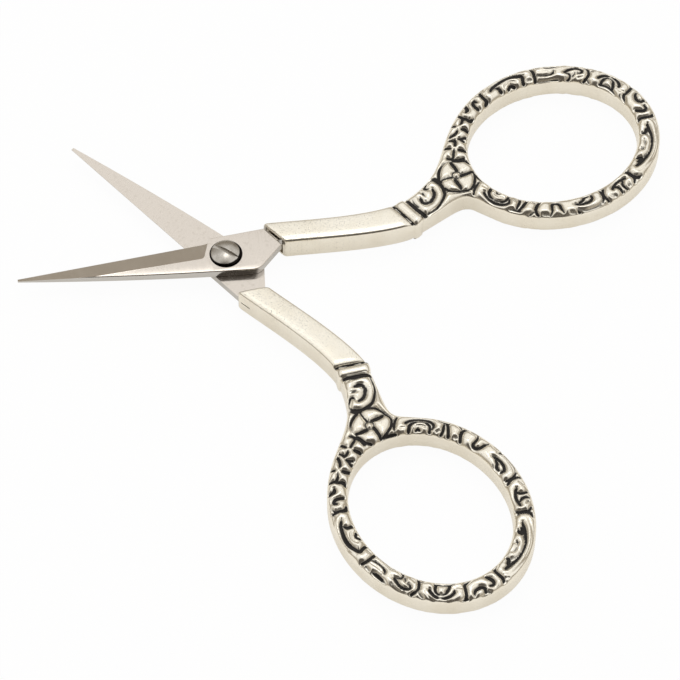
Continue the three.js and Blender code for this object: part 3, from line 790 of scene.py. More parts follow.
# %% Grooves on the neck
NECK_STROKES = {
    "collar": [
        [(28.5, 5.75, 0.2), (29.2, 4.75, 0.26), (30.0, 3.65, 0.28), (30.8, 2.75, 0.28), (31.2, 2.4, 0.22)],
        [(26.25, 5.12, 0.14), (27.0, 4.02, 0.16), (27.8, 2.92, 0.16), (28.5, 1.92, 0.16),
         (29.1, 1.0, 0.14)],
    ],
    "neck scroll": [
        [(31.4, 2.9, 0.12), (32.4, 3.4, 0.12), (33.3, 4.1, 0.14), (34.1, 5.2, 0.16), (34.5, 6.2, 0.2),
         (34.4, 7.0, 0.2), (34.2, 7.8, 0.22), (33.8, 8.4, 0.22), (33.2, 8.9, 0.2)],
        [(33.0, 8.95, 0.14), (32.2, 8.7, 0.1), (31.8, 8.1, 0.14), (31.6, 7.4, 0.16), (32.2, 7.3, 0.12)],
        [(30.7, 5.6, 0.18), (31.0, 4.9, 0.22), (31.8, 4.8, 0.2), (32.5, 5.4, 0.22), (32.9, 6.3, 0.22),
         (32.8, 7.1, 0.16)],
        [(31.1, 6.6, 0.14), (31.4, 6.1, 0.12)],
        [(29.4, 5.7, 0.1), (29.6, 4.9, 0.12), (30.2, 4.1, 0.12)],
        [(33.0, 9.3, 0.14), (33.7, 9.0, 0.18), (34.2, 8.4, 0.2)],
    ],
    "flower": [
        [(34.0, 9.0, 0.18), (34.15, 10.1, 0.2), (34.6, 11.1, 0.14), (35.4, 11.75, 0.1), (36.1, 11.95, 0.1),
         (36.5, 11.6, 0.12)],
        [(36.3, 11.8, 0.18), (36.7, 10.9, 0.24), (36.95, 10.2, 0.22)],
        [(37.5, 9.2, 0.22), (38.3, 9.4, 0.2), (39.1, 9.7, 0.18), (39.6, 9.95, 0.14)],
        [(36.5, 8.5, 0.22), (36.8, 7.8, 0.24), (37.1, 7.0, 0.2), (37.1, 6.7, 0.14)],
        [(34.4, 8.6, 0.14), (35.2, 8.9, 0.13), (36.0, 9.05, 0.15)],
        [(34.6, 7.2, 0.16), (35.3, 6.6, 0.15), (36.3, 6.35, 0.14), (37.2, 6.35, 0.14), (38.3, 6.35, 0.14),
         (39.1, 7.1, 0.16), (39.5, 8.3, 0.16), (39.6, 9.5, 0.16)],
        [(36.8, 10.0, 0.12), (36.3, 9.75, 0.12), (36.15, 9.25, 0.12), (36.45, 8.8, 0.13),
         (36.95, 8.75, 0.12), (37.35, 9.05, 0.12), (37.4, 9.55, 0.12), (37.1, 9.95, 0.12),
         (36.8, 10.0, 0.12)],
        [(36.6, 12.0, 0.14), (37.4, 11.95, 0.16), (38.3, 11.95, 0.18), (39.0, 11.5, 0.16)],
    ],
    "border": [
        [(35.0, 5.9, 0.06), (36.0, 6.0, 0.1), (37.0, 6.1, 0.12), (38.1, 6.1, 0.1), (38.8, 6.0, 0.06)],
        [(38.9, 5.6, 0.14), (39.15, 6.4, 0.16), (39.6, 7.1, 0.16), (40.1, 7.6, 0.12)],
        [(39.8, 9.2, 0.14), (40.15, 8.5, 0.24), (40.6, 7.9, 0.18)],
    ],
}
print(sum(map(len, NECK_STROKES.values())), "grooves on the neck")

# %% Strokes become curves
BAND_START, BAND_POINTS, BAND_STEP = 185, 4001, 0.05
band_line = oval(OUTER_HALF - BANDS / 2, BAND_START - np.linspace(0, 360, BAND_POINTS), BORE_SHIFT / 2)


def on_band(along, outward):
    """A place on the ring's band in the plan."""
    before, here = at_run(band_line, np.array([along - BAND_STEP, along + BAND_STEP]))
    return (before + here) / 2 + 1j * unit(here - before) * outward


def groove_curves(name, strokes):
    """Smooth curves through the strokes' points, each with its half widths as radii."""
    lines = bpy.data.curves.new(name, "CURVE")
    lines.dimensions = "3D"
    for stroke in strokes:
        spline = lines.splines.new("BEZIER")
        spline.bezier_points.add(len(stroke) - 1)
        for knot, (place, half_width) in zip(spline.bezier_points, stroke):
            knot.co = (place.real, place.imag, 0)
            knot.radius = half_width
            knot.handle_left_type = knot.handle_right_type = "AUTO"
    return show(name, lines)


on_ring, on_neck = [sum(motifs.values(), []) for motifs in (RING_STROKES, NECK_STROKES)]
strokes = [[(on_band(along, outward), half) for along, outward, half in stroke] for stroke in on_ring]
strokes += [[(x + 1j * y, half) for x, y, half in stroke] for stroke in on_neck]
grooves = groove_curves("die_grooves", strokes)
print(len(strokes), "grooves round a band of", round(run_of(band_line)[-1], 2), "mm")

# %% [markdown]
# ## Sinking the ground
# A Geometry Nodes tree presses the grooves into the blank. Boolean cuts could do it too, but they would
# leave hard lips. Every point of the blank finds the groove nearest to it and sinks by a profile: flat on
# the groove's floor, then up a rounded shoulder, so that what stays standing is plump, as chased work is.
# Wide grooves are deep and fine creases are shallow. A wide groove should win over a narrow one whose
# middle line is nearer, so the search points are lifted, the more the narrower their groove is: the
# nearest of them then belongs, near enough, to the groove whose edge is nearest. How far a point sinks is
# also kept as an attribute, because the tarnish in the silver's material needs it.

# %% Relief tree
FLAT = (1, 1, 0)
RELIEF = {"Depth": RELIEF_DEPTH, "Shoulder": 0.85, "Full half width": 0.16, "Widest": 0.4, "Spacing": 0.05}
RELIEF_SOFTENING = 4
FACING_UP = 0.3, 0.62  # how level a face is where the die starts to bite, and where it bites fully
ABOVE_SEAM = 0.2, 1.4  # heights over which the relief sets in, so that the seam stays straight


def new_group(name, kind, inputs, outputs):
    """A node group with these sockets: its wiring and what it is given."""
    group = bpy.data.node_groups.new(name, kind)
    for way, sockets in (("INPUT", inputs), ("OUTPUT", outputs)):
        for socket, data in sockets.items():
            group.interface.new_socket(socket, in_out=way, socket_type=f"NodeSocket{data}")
    return Wiring(group), group.nodes.new("NodeGroupInput").outputs


def relief_tree():
    inputs = {"Blank": "Geometry", "Grooves": "Object", **dict.fromkeys(RELIEF, "Float")}
    inputs |= {"Softening": "Int", "Metal": "Material"}
    tree, given = new_group("Chased relief", "GeometryNodeTree", inputs, {"Shell": "Geometry"})

    def raised(geometry, height):
        upward = tree.node("ShaderNodeCombineXYZ", {"Z": height})
        return tree.node("GeometryNodeSetPosition", {"Geometry": geometry, "Offset": upward})

    def of_nearest(value, data_type):
        sample = {"Geometry": dots, "Value": value, "Index": nearest}
        return tree.node("GeometryNodeSampleIndex", sample, data_type=data_type, domain="POINT")

    # Points along the grooves, each lifted the more the narrower its groove is.
    source = {"Object": given["Grooves"]}
    lines = tree.node("GeometryNodeObjectInfo", source, "Geometry", transform_space="ORIGINAL")
    lines = {"Curve": lines, "Length": given["Spacing"]}
    half_width = tree.node("GeometryNodeInputRadius")
    room = tree.less(tree.times(given["Widest"], given["Widest"]), tree.times(half_width, half_width))
    dots = tree.node("GeometryNodeCurveToPoints", lines, "Points", mode="LENGTH")
    dots = raised(dots, tree.sums("SQRT", room))

    # How far a point of the blank is beyond the edge of the groove that it finds.
    place = tree.node("GeometryNodeInputPosition")
    level = tree.vector("MULTIPLY", place, FLAT)
    search = {"Geometry": dots, "Sample Position": level}
    nearest = tree.node("GeometryNodeSampleNearest", search, domain="POINT")
    middle = tree.vector("MULTIPLY", of_nearest(place, "FLOAT_VECTOR"), FLAT)
    width = of_nearest(half_width, "FLOAT")
    beyond = tree.less(tree.vector("DISTANCE", level, middle), width)

    # The profile, as a share of the full depth.
    fullness = tree.sums("DIVIDE", width, given["Full half width"], clamp=True)
    shoulder = tree.times(given["Shoulder"], fullness)
    rest = tree.less(1.0, tree.sums("DIVIDE", beyond, shoulder, clamp=True))
    round_off = tree.sums("SQRT", tree.less(1.0, tree.times(rest, rest)))
    share = tree.times(tree.less(1.0, round_off), fullness)
    upward = tree.split(tree.node("GeometryNodeInputNormal"))[2]
    share = tree.times(share, tree.ramp(upward, *FACING_UP))

    # The share is kept for the tarnish, then softened and pressed in.
    stored = {"Geometry": given["Blank"], "Name": "ground", "Value": share}
    shell = tree.node("GeometryNodeStoreNamedAttribute", stored, data_type="FLOAT", domain="POINT")
    softened = {"Value": share, "Iterations": given["Softening"]}
    softened = tree.node("GeometryNodeBlurAttribute", softened, data_type="FLOAT")
    softened = tree.times(softened, tree.ramp(tree.split(place)[2], *ABOVE_SEAM))
    shell = raised(shell, tree.times(tree.times(softened, given["Depth"]), -1.0))
    shell = tree.node("GeometryNodeRealizeInstances", {"Geometry": shell})
    shell = tree.node("GeometryNodeSetMaterial", {"Geometry": shell, "Material": given["Metal"]})
    tree.node("NodeGroupOutput", [shell])
    return tree.tree


chased = relief_tree()
print("relief tree with", len(chased.nodes), "nodes")

# %% [markdown]
# ## Finishes
# Old silver and hand-finished steel share the same marks: slow clouds of dulling, hairline scratches from
# handling, and pin-point pits. One node group makes the three, and each metal takes as much of them as it
# shows. Pictures of worn metal could be laid on instead, but noise has no seams and takes its size from a
# number. The silver adds the black tarnish that the polishing cloth can't reach, from the depth kept
# above.

# %% Handling marks
# A mark has its size's name, its noise's detail and roughness, and the levels where it starts and is full.
MARKS = {
    "Clouds": ("Cloud size", 4.0, 0.5, 0.3, 0.7),
    "Scratches": ("Scratch size", 3.0, 0.7, 0.5, 0.72),
    "Pits": ("Pit size", 2.0, 0.5, 0.56, 0.67),
}
SCRATCH_TURN, SCRATCH_STRETCH = (0, 0, 0.2), (1, 0.07, 0.3)


def handling_marks():
    inputs = {"Place": "Vector", **{size: "Float" for size, *_ in MARKS.values()}}
    tree, given = new_group("Handling marks", "ShaderNodeTree", inputs, dict.fromkeys(MARKS, "Float"))
    stretch = {"Vector": given["Place"], "Rotation": SCRATCH_TURN, "Scale": SCRATCH_STRETCH}
    places = {"Scratches": tree.node("ShaderNodeMapping", stretch)}
    levels = {}
    for name, (size, detail, roughness, low, high) in MARKS.items():
        noise = {"Vector": places.get(name, given["Place"]), "Detail": detail, "Roughness": roughness}
        noise["Scale"] = tree.sums("DIVIDE", 1.0, given[size])
        levels[name] = tree.ramp(tree.node("ShaderNodeTexNoise", noise), low, high)
    tree.node("NodeGroupOutput", levels)
    return tree.tree


def marks(tree, place, sizes):
    """The handling marks' outputs, for clouds, scratches and pits of these sizes."""
    return tree.node("ShaderNodeGroup", [place, *sizes], node_tree=marks_group).node.outputs


def kept(tree, name, out="Fac"):
    """An attribute kept on the mesh. With the one called drawn, marks stay put when a half is turned."""
    return tree.node("ShaderNodeAttribute", out=out, attribute_name=name)


def bump(tree, height, strength, distance):
    return tree.node("ShaderNodeBump", {"Height": height, "Strength": strength, "Distance": distance})


def finish(name, dress):
    """A new material. The function wires up the inputs of its shader."""
    made = bpy.data.materials.new(name)
    tree = emptied(made)
    tree.node("ShaderNodeOutputMaterial", [tree.node("ShaderNodeBsdfPrincipled", dress(tree))])
    return made


marks_group = handling_marks()
print("handling marks", [socket.name for socket in marks_group.interface.items_tree])

# %% [markdown]
# ## Old silver
# The handles are bright where fingers and cloth reach, and black in the ground of the ornament. Near the
# mouths the silver is speckled, and grime lies along the lip and the foot of the collar. These marks could
# be painted on an unwrapped shell. Here they come from the relief's depth and from places on the drawing,
# so that all four shells get them at once and they move along when a size changes.

# %% Silver
SILVER_BRIGHT, SILVER_WARM, SILVER_CLOUDED = (0.93, 0.895, 0.81, 1), (0.84, 0.785, 0.67, 1), 0.55
SILVER_MARKS, SILVER_WEAR, SILVER_BUMP = (4.0, 0.5, 0.19), -0.6, (0.12, 0.00003)
SILVER_ROUGH = 0.14, 0.1, 0.06, 0.4  # and what clouds, scratches and tarnish add
# The black below is the tarnish in the silver's hollows, and is also used as painted shade in the
# counterbore and on the screw's rim.
TARNISH_AND_SHADE, TARNISH_METALLIC = (0.012, 0.010, 0.009, 1), 0.25
GRIME_SCALE, GRIME_MEAN = 2.5, 0.5
# Where the dark places lie, as limits of ramps, and how ragged the grime makes their edges.
TARNISH_DEPTHS, TARNISH_RAGGED = (0.38, 0.85), 0.35
SPECKLE_ALONG, SPECKLE_UP = (26.0, 12.0, 0.22, 0.5), (1.6, 2.1, 0.25)
LIP_INWARD, LIP_DOWN, LIP_RAGGED = (0.3, 0.12, 0.0, 0.4), (1.95, 1.8), 0.3
FOOT_START, FOOT_END, FOOT_UP, FOOT_RAGGED = (-0.1, 0.0), (0.36, 0.26), (1.6, 1.9), 0.12
COLLAR_FOOT = ((COLLAR - MOUTH) * CUT_INWARD.conjugate()).real - COLLAR_WIDTH / 2


def old_silver(tree):
    place = kept(tree, "drawn", "Vector")
    mark = marks(tree, place, SILVER_MARKS)
    along, _, height = tree.split(place)
    grime = tree.node("ShaderNodeTexNoise", {"Vector": place, "Scale": GRIME_SCALE})
    edge = tree.total((kept(tree, "ground"), TARNISH_RAGGED), tree.less(grime, GRIME_MEAN))
    inward = tree.vector("DOT_PRODUCT", place, (CUT_INWARD.real, CUT_INWARD.imag, 0))
    inward = tree.less(inward, (MOUTH * CUT_INWARD.conjugate()).real)
    lip_edge = tree.total((inward, LIP_RAGGED), grime)
    foot = tree.total((tree.less(inward, COLLAR_FOOT), FOOT_RAGGED), grime)

    speckle = tree.times(tree.ramp(along, *SPECKLE_ALONG), tree.ramp(height, *SPECKLE_UP))
    lip_grime = tree.times(tree.ramp(lip_edge, *LIP_INWARD), tree.ramp(height, *LIP_DOWN))
    foot_grime = tree.times(tree.ramp(foot, *FOOT_START), tree.ramp(foot, *FOOT_END))
    foot_grime = tree.times(foot_grime, tree.ramp(height, *FOOT_UP))
    tarnish = tree.ramp(edge, *TARNISH_DEPTHS)
    for dark in (tree.times(mark["Pits"], speckle), lip_grime, foot_grime):
        tarnish = tree.most(tarnish, dark)

    metal = tree.blend(tree.times(mark["Clouds"], SILVER_CLOUDED), SILVER_BRIGHT, SILVER_WARM)
    wear = tree.times(tree.sums("ADD", mark["Pits"], mark["Clouds"]), SILVER_WEAR)
    return {
        "Base Color": tree.blend(tarnish, metal, TARNISH_AND_SHADE),
        "Metallic": tree.ramp(tarnish, 0, 1, 1.0, TARNISH_METALLIC),
        "Roughness": tree.total(SILVER_ROUGH, mark["Clouds"], mark["Scratches"], tarnish),
        "Normal": bump(tree, wear, *SILVER_BUMP),
    }


silver = finish("old_silver", old_silver)
print("silver with", len(silver.node_tree.nodes), "nodes")

# %% [markdown]
# ## Steel and cement
# The blades are polished, but their ground slopes are duller. Their walls are painted greyer as shade,
# and the counterbore round the screw is painted black as shade. The screw's head is bright in the middle,
# and painted dark as shade at its rim, off centre. Every kind of face could have a material of its own.
# Here a blade has one, which reads marks kept on its faces, because a piece has one material slot. The
# cement is a dull brown filler.

# %% Steel
STEEL_FACE, STEEL_GROUND = (0.72, 0.67, 0.62, 1), (0.6, 0.55, 0.49, 1)
# The first colour on the next line is painted shade for the blades' walls, greyer than the faces.
STEEL_WALL_SHADE, STEEL_STAIN = (0.58, 0.57, 0.56, 1), (0.42, 0.37, 0.31, 1)
STEEL_MARKS, STEEL_PITTED, STEEL_SCRATCHED, STEEL_BUMP = (6.0, 0.35, 0.6), 0.16, 0.12, (0.02, 0.00002)
STEEL_ROUGH = 0.13, 0.1, 0.05, 0.16  # and what scratches, clouds and grinding add
# The steel within the counterbore's radius round the pivot is painted black as shade, fading over a narrow
# edge.
COUNTERBORE_RADIUS, COUNTERBORE_SHADE = 2.5, 0.03
SCREW_BRIGHT, SCREW_DULL = (0.56, 0.535, 0.5, 1), (0.36, 0.335, 0.3, 1)
SCREW_MARKS, SCREW_ROUGH, SCREW_BUMP = (1.5, 0.15, 0.4), (0.2, 0.36), (0.1, 0.00002)
# Painted shade: the screw head is painted dark outside a circle set a little off its middle, a dark crescent
# at its rim.
RIM_SHADE_RADIUS, RIM_SHADE_FADE, RIM_SHADE_MIDDLE = 2.16, 0.12, (-0.2, 0.07, 0)


def blade_steel(tree):
    place, ground = kept(tree, "drawn", "Vector"), kept(tree, "ground")
    mark = marks(tree, place, STEEL_MARKS)
    worn = tree.most(tree.times(mark["Pits"], STEEL_PITTED), tree.times(mark["Scratches"], STEEL_SCRATCHED))
    radius = tree.vector("LENGTH", tree.vector("MULTIPLY", place, FLAT))
    # Painted shade: black inside the counterbore's radius.
    painted_counterbore_shade = tree.ramp(radius, COUNTERBORE_RADIUS + COUNTERBORE_SHADE, COUNTERBORE_RADIUS)
    face = tree.blend(worn, STEEL_FACE, STEEL_STAIN)
    # Painted shade: the walls are made greyer.
    face = tree.blend(kept(tree, "wall"), face, STEEL_WALL_SHADE)
    face = tree.blend(painted_counterbore_shade, face, TARNISH_AND_SHADE)
    return {
        "Base Color": tree.blend(ground, face, STEEL_GROUND),
        "Metallic": 1.0,
        "Roughness": tree.total(STEEL_ROUGH, mark["Scratches"], mark["Clouds"], ground),
        "Normal": bump(tree, mark["Scratches"], *STEEL_BUMP),
    }


def screw_steel(tree):
    place = kept(tree, "drawn", "Vector")
    mark = marks(tree, place, SCREW_MARKS)
    metal = tree.blend(mark["Clouds"], SCREW_BRIGHT, SCREW_DULL)
    away = tree.vector("DISTANCE", tree.vector("MULTIPLY", place, FLAT), RIM_SHADE_MIDDLE)
    # Painted shade: the head's rim is darkened outside an off-centre circle.
    rim = tree.ramp(away, RIM_SHADE_RADIUS, RIM_SHADE_RADIUS + RIM_SHADE_FADE)
    return {
        "Base Color": tree.blend(rim, metal, TARNISH_AND_SHADE),
        "Metallic": 1.0,
        "Roughness": tree.ramp(mark["Scratches"], 0, 1, *SCREW_ROUGH),
        "Normal": bump(tree, mark["Scratches"], *SCREW_BUMP),
    }


steel, screw_finish = finish("blade_steel", blade_steel), finish("screw_steel", screw_steel)
print("steel with", len(steel.node_tree.nodes), "nodes, and the screw's", len(screw_finish.node_tree.nodes))

# %% Cement
CEMENT_LIGHT, CEMENT_DARK = (0.52, 0.46, 0.35, 1), (0.25, 0.21, 0.15, 1)
CEMENT_MARKS, CEMENT_ROUGH, CEMENT_BUMP = (0.001, 0.0006, 0.0003), (0.75, 0.95), (0.5, 0.0001)


def tang_cement(tree):
    clouds = marks(tree, tree.node("ShaderNodeTexCoord", out="Object"), CEMENT_MARKS)["Clouds"]
    return {
        "Base Color": tree.blend(clouds, CEMENT_DARK, CEMENT_LIGHT),
        "Roughness": tree.ramp(clouds, 0, 1, *CEMENT_ROUGH),
        "Normal": bump(tree, clouds, *CEMENT_BUMP),
    }


cement = finish("tang_cement", tang_cement)
print("cement with", len(cement.node_tree.nodes), "nodes")

# %% [markdown]
# ## Handles
# The tree runs once, on the upper shell. The lower shell is its mirror image, and the rear half is the
# front half turned over, so four copies laid in place make both handles. Chasing each shell by itself
# would let the four differ a little, as old work does, but it takes four times as long. A mirrored mesh
# is inside out, and its faces are flipped before it is shown.

# %% Chase one shell
workpiece = show("workpiece", blank)
chasing = workpiece.modifiers.new("Chased relief", "NODES")
chasing.node_group = chased
inputs = {**RELIEF, "Softening": RELIEF_SOFTENING, "Grooves": grooves, "Metal": silver}
for socket in chased.interface.items_tree:
    if socket.name in inputs:
        chasing[socket.identifier] = inputs[socket.name]
upper_shell = plain_mesh(workpiece)
for thing in (workpiece, grooves):
    bpy.data.objects.remove(thing)
print("chased shell", len(upper_shell.vertices), "points, attributes", upper_shell.attributes.keys())

# %% Lay the pieces in place
SHARP, CRISP = math.radians(38), math.radians(12)


def lay(name, mesh, placing, body, sharp=SHARP):
    """Puts a mesh in place as the piece that stands for the CAD node of that name."""
    mesh = mesh.copy()
    mesh.name = name
    drawn = np.empty(3 * len(mesh.vertices), dtype=np.float32)
    mesh.vertices.foreach_get("co", drawn)
    mesh.attributes.new("drawn", "FLOAT_VECTOR", "POINT").data.foreach_set("vector", drawn)
    mesh.transform(placing)
    if placing.determinant() < 0:
        mesh.flip_normals()
    mesh.set_sharp_from_angle(angle=sharp)
    piece = show(f"{name}_finished", mesh)
    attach(piece, body)
    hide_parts(name)
    return piece


over = Matrix.Diagonal((1, 1, -1, 1))
handles = [
    lay("front_handle_obverse_shell", upper_shell, lay_front, "front_half"),
    lay("front_handle_reverse_shell", upper_shell, lay_front @ over, "front_half"),
    lay("rear_handle_reverse_shell", upper_shell, lay_rear, "rear_half"),
    lay("rear_handle_obverse_shell", upper_shell, lay_rear @ over, "rear_half"),
]
triangles = sum(len(p.vertices) - 2 for p in upper_shell.polygons)
print("handles", [h.name for h in handles], "triangles each", triangles)

# %% [markdown]
# ## Blades
# A blade is forged flat, ground to a slope behind its cutting edge, and drilled for the screw. It is made
# here in the same order: an outline is raised to a plate, then the wheel's slope, the hole and the
# counterbore are cut. A small bevel takes the razor edge off every corner, as polishing does, and catches
# the light. The slope's faces are marked, because the wheel left them duller than the polished face, and so
# are the walls, whose greyer colour is painted shade. Pulling one mesh into shape by hand would also do,
# but cuts keep every face flat and every size named.

# %% Outline of a blade
BLADE_LENGTH, BLADE_THICKNESS, RUNNING_GAP = 31.8, 1.4, 0.03
FACE = RUNNING_GAP + BLADE_THICKNESS
TIP_HEIGHT, TIP_WIDTH = 0.15, 0.45
EDGE_TIP = -BLADE_LENGTH + 1j * (TIP_HEIGHT + TIP_WIDTH / 2)
SPINE_TIP = -BLADE_LENGTH + 1j * (TIP_HEIGHT - TIP_WIDTH / 2)
SPINE_PULL, SPINE_POINTS = -12 - 2.55j, 33
HEEL, HEEL_RADIUS, FILLET_POINTS = 4.7 - 3.4j, 2.4, 11
MOUTH_GAP, SHOULDER_STEP = 0.3, 0.35
EDGE_HEEL = -3.5 + 2.93j
BOSS_STEP, BOSS_STEP_REACH, BOSS_STEP_POINTS = -1.9 + 3.22j, 0.8, 13


def bow(start, pull, end, points):
    """Points along a curve that a third point pulls to one side."""
    u = np.linspace(0, 1, points)
    return (1 - u) ** 2 * start + 2 * u * (1 - u) * pull + u**2 * end


def fillet(before, corner, after, radius):
    """A corner rounded off."""
    back, ahead = unit(before - corner), unit(after - corner)
    reach = radius / math.tan(math.acos((back * ahead.conjugate()).real) / 2)
    return bow(corner + back * reach, corner, corner + ahead * reach, FILLET_POINTS)


def blade_outline():
    reach = CUT_HALF - SHOULDER_STEP / math.cos(math.radians(SLANT))
    shoulders = [MOUTH - CUT_INWARD * MOUTH_GAP + way * CUT_ALONG * reach for way in (1, -1)]
    heel = fillet(SPINE_PULL, HEEL, shoulders[0], HEEL_RADIUS)
    spine = bow(SPINE_TIP, SPINE_PULL, heel[0], SPINE_POINTS)[:-1]
    step = BOSS_STEP, -1, BOSS_STEP_REACH, unit(EDGE_TIP - EDGE_HEEL), BOSS_STEP_REACH, EDGE_HEEL
    step = sweep(*step, np.linspace(0, 1, BOSS_STEP_POINTS))
    return np.concatenate([[EDGE_TIP], spine, heel, shoulders, step])


print("blade outline of", len(blade_outline()), "points")

# %% What is cut off, drilled out and joined on
EDGE_THICKNESS, RUN_OUT_RADIUS = 0.12, 0.9
RIDGE_HEEL, RIDGE_TRIM = -3.41 - 0.4j, 0.02j
WHEEL_END, WHEEL_SIDE, WHEEL_OVERRUN = 0.3 + 2j, 2j, 4
FACE_TAPER, WEDGE_END, WEDGE_SIDE = 0.0135, -40, 8j
CUT_TOP = 3 * BLADE_THICKNESS
HOLE_RADIUS, COUNTERBORE_DEPTH, ROUND_SIDES = 1.31, 0.45, 96
CIRCLE = heading(np.arange(ROUND_SIDES) * 360 / ROUND_SIDES)
TANG_LENGTH, TANG_ROOT, TANG_FACE = 14, 1.3, 1.35
TANG_SIDE, TANG_TAPER = 1.0, 0.25


def grinding_wheel():
    """What the wheel takes off: a wedge over the slope, rounded where it runs out at the boss."""
    along, corner = unit(EDGE_HEEL - EDGE_TIP), RIDGE_HEEL - RIDGE_TRIM
    end, far = BOSS_STEP + WHEEL_END, corner - (BLADE_LENGTH + WHEEL_OVERRUN) * along
    run_out = fillet(end, corner, far, RUN_OUT_RADIUS)
    outline = np.concatenate([[end, EDGE_TIP - WHEEL_OVERRUN * along + WHEEL_SIDE, far], run_out[::-1]])
    rise = (BLADE_THICKNESS - EDGE_THICKNESS) / -((RIDGE_HEEL - EDGE_HEEL) / along).imag
    slope = RUNNING_GAP + EDGE_THICKNESS - rise * ((outline - EDGE_HEEL) / along).imag
    return prism(outline, slope, CUT_TOP)


def taper_wedge():
    """The blade thins a little towards its tip."""
    tip, ridge = WEDGE_END, RIDGE_HEEL.real
    outline = np.array([tip - WEDGE_SIDE, ridge - WEDGE_SIDE, ridge + WEDGE_SIDE, tip + WEDGE_SIDE])
    return prism(outline, FACE - FACE_TAPER * (ridge - outline.real), CUT_TOP)


def tang_plate():
    half = TANG_SIDE / math.cos(math.radians(SLANT))
    roots = [MOUTH + way * CUT_ALONG * half - TANG_ROOT for way in (-1, 1)]
    end, end_half = MOUTH + TANG_LENGTH, 1j * (TANG_SIDE - TANG_TAPER)
    return prism(np.array([roots[0], end + end_half, end - end_half, roots[1]]), RUNNING_GAP, TANG_FACE)


slope_width = abs(RIDGE_HEEL - EDGE_HEEL)
print("the slope is up to", round(slope_width, 2), "mm wide, and the hole", 2 * HOLE_RADIUS, "mm")

# %% Broken edges
EDGE_CHAMFER, CHAMFER_SEGMENTS, ROUND_PROFILE = 0.2, 4, 0.5
UPRIGHT, LEVEL = 0.1, 0.9
EDGE_BREAK, EDGE_BREAK_SEGMENTS = (0.04, 50), 2
SLIVER, FINE_SLIVER = 0.01, 0.003
NO_AREA = 0.25  # of a sliver's size, under which an edge or a face is left out


def chamfered(mesh, width):
    """Breaks the long edges where the upper face meets the walls."""

    def bevel(made):
        edges = []
        for edge in made.edges:
            lean = sorted(face.normal.z for face in edge.link_faces)
            if abs(lean[0]) < UPRIGHT and lean[-1] > LEVEL:
                edges.append(edge)
        shape = {"segments": CHAMFER_SEGMENTS, "profile": ROUND_PROFILE, "clamp_overlap": True}
        bmesh.ops.bevel(made, geom=edges, offset=width, affect="EDGES", **shape)

    return edited(mesh, bevel)


def without_slivers(mesh, size):
    """Merges the points that cuts leave almost on top of each other."""

    def merge(made):
        bmesh.ops.remove_doubles(made, verts=made.verts, dist=size)
        bmesh.ops.dissolve_degenerate(made, edges=made.edges, dist=size * NO_AREA)

    return edited(mesh, merge)


def softened(mesh, width, degrees):
    """Takes the razor edge off every corner sharper than this. Slivers would hold the bevel back."""
    bevel = {"width": width, "segments": EDGE_BREAK_SEGMENTS}
    bevel |= {"limit_method": "ANGLE", "angle_limit": math.radians(degrees)}
    return without_slivers(modified(without_slivers(mesh, SLIVER), ("BEVEL", bevel)), FINE_SLIVER)


plate = modified(prism(blade_outline(), RUNNING_GAP, FACE), cut_by(taper_wedge()))
plate = chamfered(plate, EDGE_CHAMFER)
print("chamfered plate", len(plate.polygons), "faces")

# %% Blades
SLOPE_LEAN, SLOPE_ACROSS, WALL_LEAN = (0.8, 0.97), 0.2, 0.3


def coated(mesh, material):
    mesh.materials.clear()
    mesh.materials.append(material)
    return mesh


def mark_faces(mesh):
    """Marks the ground slope by its lean, and the walls."""
    lean = np.array([p.normal.z for p in mesh.polygons])
    across = np.array([p.normal.y for p in mesh.polygons])
    slope = (lean > SLOPE_LEAN[0]) & (lean < SLOPE_LEAN[1]) & (across > SLOPE_ACROSS)
    for name, chosen in {"ground": slope, "wall": abs(lean) < WALL_LEAN}.items():
        mesh.attributes.new(name, "FLOAT", "FACE").data.foreach_set("value", chosen.astype(np.float32))


def blade(counterbored):
    cuts = [grinding_wheel(), prism(HOLE_RADIUS * CIRCLE, CLEAR_BELOW, CLEAR_ABOVE)]
    if counterbored:
        cuts.append(prism(COUNTERBORE_RADIUS * CIRCLE, FACE - COUNTERBORE_DEPTH, CLEAR_ABOVE))
    made = softened(modified(plate, *map(cut_by, cuts), joined(tang_plate())), *EDGE_BREAK)
    mark_faces(made)
    return coated(made, steel)


blades = [
    lay("front_blade", blade(True), lay_front, "front_half", CRISP),
    lay("rear_blade", blade(False), lay_rear, "rear_half", CRISP),
]
print("blades", [len(b.data.polygons) for b in blades], "faces")

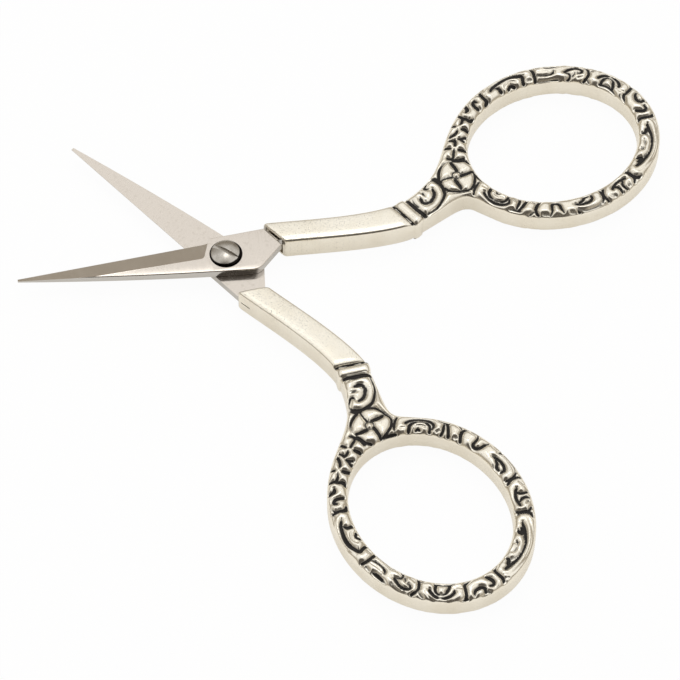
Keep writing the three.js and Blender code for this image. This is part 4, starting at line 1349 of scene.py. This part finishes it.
# %% [markdown]
# ## Screw and cement
# The screw is turned: a profile spun round the pivot, then slotted by a narrow block. A Screw modifier
# could spin it too, but its rings are few, and worked out here they are closed from the start. The cement
# shows only deep inside the mouths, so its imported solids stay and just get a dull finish.

# %% Screw
SCREW_RADIUS, SCREW_END_PROUD, HEAD_RADIUS, HEAD_RIM, DOME_HEIGHT = 1.25, 0.12, 2.3, 0.3, 0.62
SCREW_SEAT_GAP, SCREW_BREAK, DOME_SHARES = 0.05, (0.05, 35), np.linspace(1, 0.02, 14)
SLOT_WIDTH, SLOT_DEPTH, SLOT_ANGLE, SLOT_OVERRUN = 0.62, 0.6, -14, 1
CROWN = FACE + HEAD_RIM + DOME_HEIGHT


def screw_profile():
    """Radius and height of the points that are spun, from the end up to the crown."""
    seat, end = FACE - COUNTERBORE_DEPTH + SCREW_SEAT_GAP, -FACE - SCREW_END_PROUD
    dome = (HEAD_RADIUS**2 + DOME_HEIGHT**2) / (2 * DOME_HEIGHT)
    lean = math.asin(HEAD_RADIUS / dome) * DOME_SHARES
    stem = [(SCREW_RADIUS - SCREW_END_PROUD, end), (SCREW_RADIUS, end + SCREW_END_PROUD)]
    head = [(SCREW_RADIUS, seat), (HEAD_RADIUS, seat)]
    top = zip(dome * np.sin(lean), CROWN - dome * (1 - np.cos(lean)))
    return np.array([*stem, *head, *top])


def pivot_screw():
    radius, height = screw_profile().T[:, :, None]
    dish = Dish()
    rings = dish.add(radius * CIRCLE[None], height)
    dish.strip(np.column_stack([rings, rings[:, :1]]))
    dish.faces += [rings[0].tolist(), rings[-1].tolist()]
    corner = HEAD_RADIUS + SLOT_OVERRUN + 0.5j * SLOT_WIDTH
    slot = prism(rectangle(corner, -corner) * heading(SLOT_ANGLE), CROWN - SLOT_DEPTH, CROWN + SLOT_OVERRUN)
    return coated(softened(modified(dish.mesh("screw"), cut_by(slot)), *SCREW_BREAK), screw_finish)


screw = lay("pivot_screw", pivot_screw(), at_pivot @ to_metres, "rear_half")
for name in ("front_tang_cement", "rear_tang_cement"):
    frame["nodes"][name].material_slots[0].material = cement
print("screw", len(screw.data.polygons), "faces")
